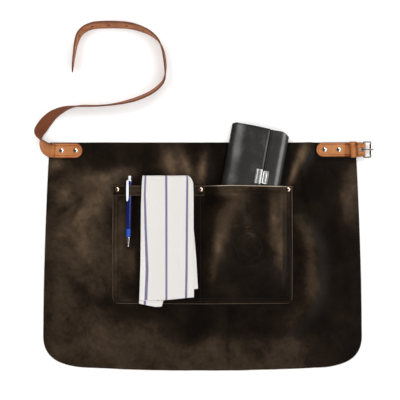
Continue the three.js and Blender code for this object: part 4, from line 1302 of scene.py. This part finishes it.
def makeBuckleFrame():
    bar = bucklePlan["bar"]
    left, right = tabPlan["barX"], tabPlan["barX"] + bucklePlan["length"]
    half = bucklePlan["half"] - bar / 2
    corner, y = bucklePlan["corner"] - bar / 2, tabPlan["y"]
    outline, _ = roundCorners(left, right, y - half, y + half, corner, 12)
    path = np.column_stack([outline, np.full(len(outline), tabPlan["barZ"])])
    profile = []
    power = 2 / bucklePlan["squareness"]
    for a in np.linspace(0, 2 * math.pi, 20, endpoint=False):
        c, s = math.cos(a), math.sin(a)
        profile.append((abs(c) ** power * math.copysign(bar / 2, c), abs(s) ** power * math.copysign(bar / 2, s)))
    return sweptRing("buckleFrame", path, profile, buckleNickel)


def makeRoller():
    ro, ri, h = bucklePlan["rollerOuter"], bucklePlan["rollerInner"], bucklePlan["rollerHalf"]
    e = 0.3 * mm
    profile = [(ri, -h + e), (ri + e, -h), (ro - e, -h), (ro, -h + e), (ro, h - e), (ro - e, h), (ri + e, h),
               (ri, h - e), (ri, -h + e)]
    place = Matrix.Translation((tabPlan["barX"] + bucklePlan["length"], tabPlan["y"], tabPlan["barZ"]))
    return turned("buckleRoller", profile, nickel, place, 40)


def makeProng():
    # a rod bent once round the bar, then running out over the roller to a rounded tip
    rod = bucklePlan["prongRod"]
    ring = 2.7 * mm + rod
    x0, z0 = tabPlan["barX"], tabPlan["barZ"]
    rest = z0 + bucklePlan["rollerOuter"] + 0.3 * mm
    turn = np.radians(np.linspace(-40, -265, 34))
    path = [(x0 + ring * math.cos(a), z0 + ring * math.sin(a)) for a in turn]
    path += [(x0 + 2.2 * mm, z0 + 4.0 * mm), (x0 + 5 * mm, rest + 1.2 * mm), (x0 + 10 * mm, rest + rod + 0.1 * mm),
             (x0 + 15 * mm, rest + rod), (x0 + 20 * mm, rest + rod - 0.02 * mm),
             (x0 + 21.4 * mm, rest + rod - 0.1 * mm)]
    path = alongLine(roundCurve(path, 5), np.linspace(0, 1, 90))
    n = len(path)
    along = np.gradient(path, axis=0)
    along /= np.linalg.norm(along, axis=1, keepdims=True)
    out = np.stack([-along[:, 1], along[:, 0]], 1)
    girth = np.ones(n)
    girth[-6:] = [1, 0.97, 0.9, 0.78, 0.58, 0.2]
    girth[:3] = [0.5, 0.85, 1]
    sides = 14
    verts = []
    for k in range(n):
        for a in np.linspace(0, 2 * math.pi, sides, endpoint=False):
            d = out[k] * math.cos(a) * rod * girth[k]
            verts.append((path[k, 0] + d[0], tabPlan["y"] + math.sin(a) * 1.6 * mm * girth[k], path[k, 1] + d[1]))
    obj = makeObject("buckleProng", verts, tubeFaces(n, sides) + endFaces(n, sides), [buckleNickel])
    faceOutward(obj)
    return obj


bucklePieces = ((makeBuckleFrame(), "buckle", "buckle_frame"), (makeRoller(), "roller", "buckle_roller"),
                (makeProng(), "prong", "buckle_prong"))
for piece, body, cadNode in bucklePieces:
    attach(piece, body)
    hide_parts(cadNode)
print("buckle made")


# rivets

rivetPlan = {"radius": 4.4 * mm, "post": 1.8 * mm, "burr": 5.0 * mm, "burrHole": 2.1 * mm, "dome": 1.3 * mm}


def makeRivet(name, x, y, seat, material):
    r = rivetPlan["radius"]
    low = seat + 0.3 * mm
    post = rivetPlan["post"]
    profile = [(0.0002 * mm, 0.2 * mm), (post, 0.2 * mm), (post, low), (r - 0.3 * mm, low), (r, low + 0.25 * mm),
               (r, low + 0.5 * mm)]
    for part in np.linspace(0.03, 0.97, 14):
        profile.append((r * (1 - part), low + 0.5 * mm + rivetPlan["dome"] * (1 - (1 - part) ** 2)))
    profile.append((0.0002 * mm, low + 1.8 * mm))
    turn = Matrix.Translation((x, y, 0)) @ Matrix.Rotation(math.pi / 2, 4, "X")
    cap = turned(name, profile, material, turn, 40)
    b, hole = rivetPlan["burr"], rivetPlan["burrHole"]
    ring = [(hole, 0.02 * mm), (b - 0.2 * mm, 0.02 * mm), (b, 0.2 * mm), (b, 0.6 * mm), (b - 0.2 * mm, 0.8 * mm),
            (hole, 0.8 * mm), (hole, 0.02 * mm)]
    return [cap, turned(name + "Burr", ring, material, turn, 40)]


# each row's places: x, y and the height of the leather under the cap, in millimetres
rivetRows = (
    ("pocketRivets", copper, "copper_rivet", "pocket_rivet",
     [(-177.4, -85.5, 5.6), (-4, -85.5, 5.6), (177.4, -85.5, 3.7)]),
    ("beltRivets", nickel, "nickel", "belt_rivet", [(-292.8, -5, 7.3), (-263.5, -5, 7.3)]),
    ("tabRivets", nickel, "nickel", "tab_rivet", [(253, -3, 8.9), (282.4, -3, 8.9)]),
)
for rowName, metal, slotName, cadName, places in rivetRows:
    parts, nodes = [], []
    for i, (x, y, seat) in enumerate(places):
        parts += makeRivet(rowName, x * mm, y * mm, seat * mm, metal)
        nodes += [f"{cadName}_{i + 1}", f"{cadName}_burr_{i + 1}"]
    row = joined(rowName, parts)
    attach(row, "apron")
    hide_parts(*nodes)
print("rivets set")


# click pen

penPlan = {"x": -154.2 * mm, "y": -204.4 * mm, "z": 9.7 * mm, "tilt": -0.0225, "radius": 5.1 * mm,
           "clipTurn": -24}
penPlace = Matrix.Translation((penPlan["x"], penPlan["y"], penPlan["z"])) @ Matrix.Rotation(penPlan["tilt"], 4, "Z")


def penTurned(name, profile, material):
    return turned(name, np.array(profile) * mm, material, penPlace, 56)


def makePen():
    nose = [(1.5, 0), (1.8, 0.3), (2.2, 3), (3.0, 10), (3.55, 17), (3.7, 19), (3.4, 20), (2, 20), (1.5, 3),
            (1.5, 0)]
    grip = [(2.1, 20.3), (3.9, 20.3), (4.15, 20.8)]
    for i in range(6):
        y = 22 + i * 2.2
        r = 4.35 + 0.05 * i
        grip += [(r, y), (r - 0.22, y + 0.35), (r - 0.22, y + 0.75), (r, y + 1.1)]
    grip += [(4.8, 36.2), (4.8, 37), (2.8, 37), (2.1, 20.3)]
    r = penPlan["radius"] / mm
    barrel = [(2.8, 37.3), (4.85, 37.3), (5.0, 38), (r, 41), (r, 60), (r, 90), (r, 126.2), (r - 0.2, 127),
              (3.2, 127), (2.8, 37.3)]
    refill = [(0.0002, 0.6), (0.35, 0.7), (1.15, 4), (1.15, 26), (1.6, 27), (1.6, 127.4), (0.0002, 127.6)]
    collar = [(3.2, 127.3), (4.9, 127.3), (5.1, 127.6), (5.5, 128.6), (5.5, 133.8), (5.3, 134.5), (4.6, 136),
              (3.2, 136), (3.2, 127.3)]
    button = [(0.0002, 128), (2.9, 128), (2.9, 144.6)]
    for a in np.linspace(0, math.pi / 2, 8)[1:-1]:
        button.append((2.2 + 0.7 * math.cos(a), 144.6 + 2.4 * math.sin(a)))
    button += [(1.4, 147), (0.0002, 147)]
    metal = makeMetal("penNoseMetal", (0.83, 0.82, 0.80), 0.14, 0.3)
    made = [
        (penTurned("penNose", nose, metal), "pen", "pen_nose", "nickel"),
        (penTurned("penGrip", grip, penGripBlue), "pen", "pen_grip", "pen_grip_rubber"),
        (penTurned("penBarrel", barrel, penBlue), "pen", "pen_barrel", "pen_blue"),
        (penTurned("penCollar", collar, penBlue), "pen", "pen_collar", "pen_blue"),
        (penTurned("penButton", button, penWhite), "pen_click", "pen_button", "pen_white"),
        (penTurned("penRefill", refill, metal), "pen_click", "pen_refill", "nickel"),
        (makeClip(), "pen", "pen_clip", "pen_white"),
    ]
    for piece, body, cadNode, slotName in made:
        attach(piece, body)
        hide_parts(cadNode)


def makeClip():
    over = 5.1 + 1.6 + 1.2
    bend = [(137.0, 4.0), (137.6, 6.2), (136.6, 8.6), (133.2, over + 1.75), (126, over + 1.6), (114, over + 1.1),
            (103, over + 0.75), (98.6, over + 0.75), (95.6, over + 1.3), (94.4, over + 2.0)]
    p = alongLine(roundCurve(bend, 8), np.linspace(0, 1, 60))
    y = p[:, 0]
    half = np.interp(y, [94, 97, 104, 112, 120, 130, 138], [0.9, 1.7, 2.35, 2.55, 2.5, 2.3, 2.2])
    cols = np.array([-1, -0.9, -0.6, -0.2, 0.2, 0.6, 0.9, 1])
    x = cols[None, :] * half[:, None]
    crown = 0.35 * (1 - cols ** 2)
    mid = pairs(x, y[:, None], p[:, 1:] + crown)
    mid = placed(mid, Matrix.Rotation(math.radians(penPlan["clipTurn"]), 4, "Y")) * mm
    flat = pairs(x, y[:, None]) * mm
    blade = leatherSheet("penClip", placed(mid, penPlace), 1.1 * mm, flat, [penWhite] * 3, flip=True)
    ring = [(3.2, 136.3), (4.4, 136.3), (4.6, 136.5), (4.6, 137.2), (4.4, 137.5), (3.2, 137.5), (3.2, 136.3)]
    return joined("penClip", [blade, penTurned("clipRing", ring, penWhite)])


makePen()
print("pen made")


# towel

towelPlan = {"layer": 0.95 * mm, "gap": 0.28 * mm, "layers": 4, "top": -57.5 * mm, "fold": -77.2 * mm,
             "backEnd": -283 * mm, "backRight": -22.5 * mm, "bandTop": 11.9 * mm, "bandBack": 9.6 * mm,
             "span": 108 * mm, "woven": [13.2 * mm, 56.7 * mm, 100.2 * mm], "hem": 12}
mapRow = lambda rows, y: np.interp(-y / mm, [r[0] for r in rows], [r[1] for r in rows]) * mm
# distance down the apron against x, for the left side, the free right edge, the inner right fold and the stripes
towelLeft = [(57, -123.5), (70, -124.5), (90, -125.5), (120, -126.6), (180, -127), (240, -127.6), (300, -129.5),
             (330, -130.5)]
towelRight = [(57, -30), (62, -23.5), (72, -19.5), (90, -18.8), (150, -18.6), (200, -18.4), (290, -18.0),
              (330, -18.0)]
towelInner = [(57, -32), (70, -24), (120, -21.5), (160, -20), (190, -17), (230, -13.8), (290, -10.5), (330, -10)]
stripeLeft = [(57, -118.5), (97, -119.7), (170, -117.2), (252, -113.8), (300, -115.8), (330, -117)]
stripeMiddle = [(57, -75.2), (120, -74.8), (200, -74.8), (330, -74.8)]
stripeRight = [(57, -31.2), (80, -31.5), (150, -32.4), (250, -33.2), (330, -34.8)]


def towelPath(offset):
    # the middle line of one layer, from its front hem up over the band and down behind it
    f = towelPlan["bandTop"] + offset
    b = towelPlan["bandBack"] - offset
    fold = towelPlan["fold"]
    top = towelPlan["top"] - (3.9 * mm - offset)
    pts = [(-345 * mm, f), (-200 * mm, f), (-118 * mm, f), (-100 * mm, f), (-78 * mm, f),
           (fold + 8 * mm, f - 0.2 * mm)]
    mid, r = (f + b) / 2, (f - b) / 2
    for a in np.linspace(80, -80, 9):
        pts.append((top - r + r * math.cos(math.radians(a)), mid + r * math.sin(math.radians(a))))
    pts += [(fold + 8 * mm, b + 0.2 * mm), (-78 * mm, b), (-100 * mm, b), (-200 * mm, b), (towelPlan["backEnd"], b)]
    return roundCurve(pts, 8)


# the front hem of each layer: x against y
layerHems = [
    ([-130, -118, -83, -60, -18], [-315.5, -313.8, -314.6, -312.8, -308.4]),
    ([-130, -82, -70, -34, -29.5, -20], [-316, -315, -309, -306, -292.5, -291]),
    ([-131, -118, -98, -88, -86, -84.5, -60, -33, -29.5, -20],
     [-321, -324.5, -328.6, -328, -326.8, -315, -306, -300, -291.5, -290]),
    ([-131, -118, -98, -90, -88, -86.5, -60, -33, -29.5, -20],
     [-320, -323, -326.8, -326, -324.8, -314, -304, -298, -289, -287.5]),
]


def makeTowel():
    # one cloth folded into four layers side to side, then hung over the band
    pitch = towelPlan["layer"] + towelPlan["gap"]
    rows = shares(0.52, 3.6 * mm)
    span = towelPlan["span"]
    inner = np.unique(np.concatenate([np.arange(0, span, 2.9 * mm), towelPlan["woven"], [0.6 * mm, span]]))
    columns = []  # layer, distance from the right edge of that layer, turn of the fold, distance across the cloth
    across = 0.0
    for layer in range(towelPlan["layers"]):
        toLeft = layer % 2 == 0
        steps = inner if toLeft else inner[::-1]
        for s in (steps if layer == 0 else steps[1:]):
            columns.append((layer, s, 0.0, across + (s if toLeft else span - s)))
        across += span
        if layer < towelPlan["layers"] - 1:
            for a in (0.25, 0.5, 0.75):
                foldAt = span if toLeft else 0.0
                columns.append((layer + a, foldAt, math.sin(a * math.pi), across + a * pitch * 1.4))
            across += pitch * 1.4
    grid = np.zeros((len(rows), len(columns), 3))
    for k, (level, s, turn, _) in enumerate(columns):
        offset = (towelPlan["layers"] - 1 - level + 0.5) * pitch
        path = towelPath(offset)
        low = np.interp(-20 - s / mm, *layerHems[min(int(level + 0.5), 3)]) * mm
        firstFront = np.argmax(path[:, 0] >= low)
        start = np.array([[low, np.interp(low, path[:firstFront + 1, 0], path[:firstFront + 1, 1])]])
        line = np.vstack([start, path[firstFront:]])
        p = alongLine(line, rows)
        y, z = p[:, 0], p[:, 1]
        front = np.arange(len(rows)) < np.argmax(y)
        right = mapRow(towelRight if level < 0.5 else towelInner, y) - (3 * mm if level >= 2.5 else 0)
        right = np.where(front, right, np.minimum(right, towelPlan["backRight"]))  # clear of the band's end
        left = mapRow(towelLeft, y)
        if level < 0.5:  # woven lines run where the cloth's own lines go
            stripes = [mapRow(stripe, y) for stripe in (stripeRight, stripeMiddle, stripeLeft)]
            stops = np.stack([right, *stripes, left], 1)
            x = np.array([np.interp(s, [0, *towelPlan["woven"], span], row) for row in stops])
        else:
            x = right + (left - right) * s / span
        bulge = turn * 0.55 * mm
        x = x + (bulge if s == 0.0 else -bulge)
        soft = towelFolds(x, y, level)
        weight = np.where(front, 1.0, 0.15) * (1 - 0.5 * ease(1, 3, level))
        tall = np.where(front, np.clip((z - 9 * mm) / (3 * mm), 0, 1), 0.2)
        grid[:, k] = np.stack([x, y, z + soft * weight * tall], 1)
    length = float(np.mean([lineLength(grid[:, k]) for k in range(0, len(columns), 9)]))
    u = np.array([c[3] for c in columns])
    fromHem = rows[:, None] * length
    flat = pairs(u, fromHem)
    hem = towelPlan["hem"]
    hemmed = 1 + 0.5 * (1 - ease(hem - 0.5, hem + 0.5, np.minimum(fromHem, length - fromHem) / mm))
    thick = towelPlan["layer"] * 0.8 * np.broadcast_to(hemmed, grid.shape[:2])
    made = leatherSheet("foldedTowel", grid, thick, flat, [towelCotton] * 3)
    return made, float(u[-1]), length


def towelFolds(x, y, level):
    # soft standing creases down the cloth and small ripples at its hem
    broad = 0.9 * mm * np.abs(layeredNoise(x / mm / 26 + 3 * level, y / mm / 75 + 7, 41, 2))
    hem = 0.9 * mm * np.abs(valueNoise(x / mm / 11 + 2 * level, y / mm / 20, 47)) * (1 - ease(-306, -280, y / mm))
    slant = 0.7 * mm * ridge(x / mm + 40 + 0.35 * (y / mm + 250), 4.5) * (1 - ease(-250, -180, y / mm))
    pinch = 0.8 * mm * ridge(x / mm + 34, 5) * ease(-130, -90, y / mm)
    return broad + hem + slant + pinch


cloth, clothWidth, clothLength = makeTowel()
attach(cloth, "towel")
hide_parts("towel")
print("towel folded, flat size", round(clothWidth, 3), round(clothLength, 3))


# wallet

walletTurn = Matrix.Rotation(math.radians(walletPlan["tilt"]), 4, "Z")
walletPlace = Matrix.Translation((walletPlan["x"], walletPlan["y"], 0)) @ walletTurn


def walletSection(v):
    # the cover's middle line at distance v from its top: flap's edge, left side, back, right side
    half = walletPlan["width"] / 2 - 0.9 * mm
    low = walletPlan["base"] + 0.9 * mm
    high = walletPlan["base"] + walletPlan["thick"] - 0.9 * mm
    reach = (60 - 18 * ease(0, 110, v / mm)) * mm  # how far in the left side keeps curving
    edgeZ = low + 3.2 * mm
    x = np.concatenate([[19 * mm], np.linspace(15.5 * mm, -half + 12 * mm, 22),
                        -half + 12 * mm * (1 - np.linspace(0.08, 1, 14)) ** 2])
    t = np.clip((x + half) / reach, 0, 1)
    z = edgeZ + (high - edgeZ) * (1 - (1 - t) ** 2.2) ** 0.625
    pts = [(a, b) for a, b in zip(x, z)]
    for a in np.linspace(180, 270, 8)[1:]:
        r = math.radians(a)
        pts.append((-half + 5 * mm + 5 * mm * math.cos(r), edgeZ + (edgeZ - low) * math.sin(r)))
    rightZ = low + 3.0 * mm
    for a in np.linspace(270, 360, 8):
        r = math.radians(a)
        pts.append((half - 6 * mm + 6 * mm * math.cos(r), rightZ + (rightZ - low) * math.sin(r)))
    right = high - 1.4 * mm
    spine = 23 * mm
    for a in np.linspace(0, 90, 16)[1:]:
        r = math.radians(a)
        out = spine * math.cos(r) ** 0.9 if a < 90 else 0.0
        pts.append((half - spine + out, rightZ + (right - rightZ) * math.sin(r) ** 0.85))
    pts += [(30 * mm, right + 0.1 * mm), (25 * mm, right), (23.1 * mm, right - 0.5 * mm),
            (22.4 * mm, right - 1.6 * mm), (22.2 * mm, right - 3.4 * mm)]
    return np.array(pts)


def makeWalletCover():
    first = walletSection(0)
    length = lineLength(first)
    at = np.unique(np.concatenate([shares(length, 2.2 * mm), np.array([3.2, 3.8, 4.4, 5.0]) * mm / length]))
    down = shares(walletPlan["length"], 4.5 * mm)
    mid = []
    for share in down:
        p = alongLine(walletSection(share * walletPlan["length"]), at)
        x = p[:, 0]
        fromLeft, fromRight = (x + 0.0596) / mm, (0.0596 - x) / mm
        y0 = 4.0 * mm * np.clip(1 - fromLeft / 9, 0, 1) ** 2 + 9 * mm * np.clip(1 - fromRight / 17, 0, 1) ** 2.2
        y0 = y0 + 2.4 * mm * ease(19.4, 21.5, x / mm) + 1.2 * mm * ease(-20, 19, x / mm) * (x < 19.2 * mm)
        y = -y0 - share * (walletPlan["length"] - y0)
        mid.append(np.stack([x, y, p[:, 1]], 1))
    mid = np.array(mid)
    x, y, z = mid[..., 0], mid[..., 1], mid[..., 2]
    top = ease(9, 13, z / mm)
    soft = 0.55 * mm * layeredNoise(x / mm / 30 + 2, y / mm / 44 + 5, 61, 2) * top * ease(0, 14, -y / mm)
    mid[..., 2] -= np.abs(soft)
    s = at * length
    edge = np.minimum(s, length - s)[None, :] + 0 * x
    turnedEdge = 0.35 * mm * (1 - ease(3.6, 4.6, edge / mm)) * (x < 19.5 * mm) * top
    relief = turnedEdge - 0.30 * mm * ridge(edge - 4.4 * mm, 0.55 * mm)
    relief -= 0.4 * mm * ridge(edge, 0.5 * mm)
    # painted highlights along the left side and the right spine, painted shade at the outer edges and the top, a
    # paler turned edge and a darker stitch groove
    paintedLightAndShade = 0.46 * ridge(x / mm + 42, 9 + 3 * ease(0, 90, -y / mm)) * (1 - 0.5 * ease(50, 100, -y / mm))
    paintedLightAndShade = paintedLightAndShade - 0.36 * (1 - ease(3, 15, (x + 0.06) / mm)) + 0.95 * ridge(x / mm - 50.5, 2.8)
    paintedLightAndShade = paintedLightAndShade - 0.3 * ease(53.5, 56, x / mm) - 0.25 * (1 - ease(1.2, 3.2, -y / mm)) + 0.22 * (edge < 3.8 * mm) * top
    paintedLightAndShade = paintedLightAndShade - 0.2 * ridge(edge - 4.4 * mm, 0.8 * mm)
    tone = np.clip(0.36 + paintedLightAndShade + 0.10 * layeredNoise(x / mm / 18, y / mm / 30, 67), 0.02, 0.98)
    materials = [walletLeather, walletLining, walletLeather]
    made = leatherSheet("walletCover", placed(mid, walletPlace), walletPlan["leather"], pairs(s, y), materials,
                        {"walletTone": tone}, relief=relief, flip=True)
    return made, length


def makeWalletLeaves():
    # pockets and leaves stacked inside the cover
    parts = []
    low = walletPlan["base"] + 2.4 * mm
    inner = [(-54, 52, 1.5, -9), (-50, 50, 1.2, -8), (-44, 48, 1.2, -11), (-34, 46, 1.6, -9), (-24, 40, 1.4, -12)]
    z = low
    for i, (x0, x1, thick, top) in enumerate(inner):
        xs = x0 + (x1 - x0) * shares((x1 - x0) * mm, 9 * mm)
        ys = top - (walletPlan["length"] / mm + top - 2) * shares(walletPlan["length"], 12 * mm)
        x, y = np.meshgrid(xs, ys)
        h = np.full_like(x, z / mm + thick / 2) + 0.12 * np.sin(x / 17 + i)
        mid = placed(pairs(x, y, h) * mm, walletPlace)
        parts.append(leatherSheet("leaf", mid, (thick - 0.25) * mm, pairs(x, y) * mm, [walletLining] * 3))
        z += (thick + 0.18) * mm
    return joined("walletLeaves", parts)


def makeClasp():
    seat = walletPlan["base"] + walletPlan["thick"] + 0.3 * mm
    low, high = -115.5, -88.0
    left, right = 20.3, 32.3
    plateParts = [stampedPlate("plate", (left, low), (right, high), 3.0, seat / mm - 1.3,
                               [(0, 0), (0, 2.2), (0.3, 2.6), (1.3, 2.6), (1.8, 2.1), (2.6, 2.1)]),
                  stampedPlate("boss", (left + 3.1, low + 5), (right - 3.1, high - 5), 2.8, seat / mm + 0.3,
                               [(0, 0), (0.1, 0.9), (0.6, 1.35), (1.3, 1.6), (2.2, 1.7)])]
    plate = joined("claspPlate", plateParts)
    # the hasp is a rolled lip across the flap's edge
    section = [(5.0, 0.3), (5.3, 1.5), (7.0, 2.1), (9.2, 1.9), (9.9, 0.8), (10.6, 1.9), (13.0, 3.0), (16.0, 3.1),
               (18.0, 2.3), (18.5, 0.5)]
    line = roundCurve(section, 6)
    p = alongLine(line, np.linspace(0, 1, 44))
    ys = low - 1 + (high - low + 2) * shares((high - low + 2) * mm, 2.0 * mm)
    ends = 0.5 * (1 - ease(0, 2, np.minimum(ys - ys.min(), ys.max() - ys)))
    z = seat / mm + p[:, 1][None, :] * (1 - 0.25 * ends[:, None])
    mid = pairs(p[:, 0], ys[:, None], z) * mm
    hasp = leatherSheet("claspHasp", placed(mid, walletPlace), 0.8 * mm, mid[..., :2], [claspSteel] * 3, flip=True)
    return plate, hasp


def stampedPlate(name, lowCorner, highCorner, corner, z0, steps):
    # a rounded plate drawn in steps of (inset, height)
    (x0, y0), (x1, y1) = lowCorner, highCorner
    outline, angles = roundCorners(x0, x1, y0, y1, corner, 8)
    inward = -np.stack([np.cos(angles), np.sin(angles)], 1)
    verts, n = [], len(outline)
    for inset, z in steps:
        verts += [(x, y, z0 + z) for x, y in outline + inward * inset]
    faces = tubeFaces(len(steps), n) + endFaces(len(steps), n)
    obj = makeObject(name, placed(np.array(verts) * mm, walletPlace), faces, [claspSteel])
    faceOutward(obj)
    crisp(obj, 50)
    return obj


cover, coverLength = makeWalletCover()
leaves = makeWalletLeaves()
claspPlate, claspHasp = makeClasp()
walletPieces = ((cover, "wallet_wrap", "wallet_leather"), (leaves, "wallet_core", "wallet_inside"),
                (claspPlate, "wallet_clasp_plate", "nickel"), (claspHasp, "wallet_clasp_hasp", "nickel"))
for piece, cadNode, slotName in walletPieces:
    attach(piece, "wallet")
    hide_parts(cadNode)
print("wallet made, cover", round(coverLength, 4), "long")


# table, light and camera

stagePlan = {"floor": (0.90, 0.90, 0.895), "floorZ": -0.5 * mm, "floorHalf": 6, "glow": 0.15, "horizon": 0.9,
             "zenith": 0.08, "opening": (-0.47, 0.08, 0.879), "tent": (0.1, 0.66), "lightHeight": 2.5,
             "lightReach": 2.7, "aim": (0, -0.1, 0), "camera": (-0.0052, -0.1075, 6.0), "seen": 0.83}
# the softboxes: direction in degrees, power in watts, width in metres
softboxes = [(135, 60, 1.9), (75, 34, 1.6), (190, 36, 1.6), (255, 28, 1.6), (315, 24, 1.6), (15, 32, 1.6)]


def makeStage():
    m, tree, bsdf = newMaterial("paleTable")
    bsdf.inputs["Base Color"].default_value = (*stagePlan["floor"], 1)
    bsdf.inputs["Roughness"].default_value = 0.85
    bsdf.inputs["Emission Color"].default_value = (1, 1, 1, 1)
    bsdf.inputs["Emission Strength"].default_value = stagePlan["glow"]
    low, w = stagePlan["floorZ"], stagePlan["floorHalf"]
    corners = [(-w, -w, low), (w, -w, low), (w, w, low), (-w, w, low)]
    floor = makeObject("table", corners, [(0, 1, 2, 3)], [m], shade=False)
    world = bpy.data.worlds.new("studio")
    bpy.context.scene.world = world
    world.use_nodes = True
    tree = world.node_tree
    where = node(tree, "ShaderNodeTexCoord").outputs["Generated"]
    height = node(tree, "ShaderNodeVectorMath", operation="DOT_PRODUCT")
    height.inputs[1].default_value = stagePlan["opening"]
    tree.links.new(where, height.inputs[0])
    fall = node(tree, "ShaderNodeMapRange", interpolation_type="SMOOTHSTEP")  # a light tent, open at the top
    fall.inputs["From Min"].default_value, fall.inputs["From Max"].default_value = stagePlan["tent"]
    fall.inputs["To Min"].default_value = stagePlan["horizon"]
    fall.inputs["To Max"].default_value = stagePlan["zenith"]
    tree.links.new(height.outputs["Value"], fall.inputs["Value"])
    tree.links.new(fall.outputs["Result"], tree.nodes["Background"].inputs["Strength"])
    tree.nodes["Background"].inputs["Color"].default_value = (1, 1, 1, 1)


def areaLight(name, where, aim, size, power):
    data = bpy.data.lights.new(name, "AREA")
    data.energy, data.size = power, size
    obj = bpy.data.objects.new(name, data)
    bpy.context.scene.collection.objects.link(obj)
    obj.location = where
    obj.rotation_euler = (Vector(aim) - Vector(where)).to_track_quat("-Z", "Y").to_euler()
    obj.visible_glossy = where[0] > 0  # the left boxes light the leather but aren't mirrored in the metal


def makeCamera():
    data = bpy.data.cameras.new("camera")
    data.sensor_width = 36.0
    data.lens = data.sensor_width * stagePlan["camera"][2] / stagePlan["seen"]
    data.clip_end = 50
    cam = bpy.data.objects.new("camera", data)
    bpy.context.scene.collection.objects.link(cam)
    cam.location = stagePlan["camera"]
    bpy.context.scene.camera = cam


makeStage()
for turn, power, size in softboxes:
    reach, a = stagePlan["lightReach"], math.radians(turn)
    place = (reach * math.cos(a), reach * math.sin(a) + stagePlan["aim"][1], stagePlan["lightHeight"])
    areaLight(f"softbox{turn}", place, stagePlan["aim"], size, power)
makeCamera()
bpy.context.scene.view_settings.view_transform = "Standard"
print("stage set")
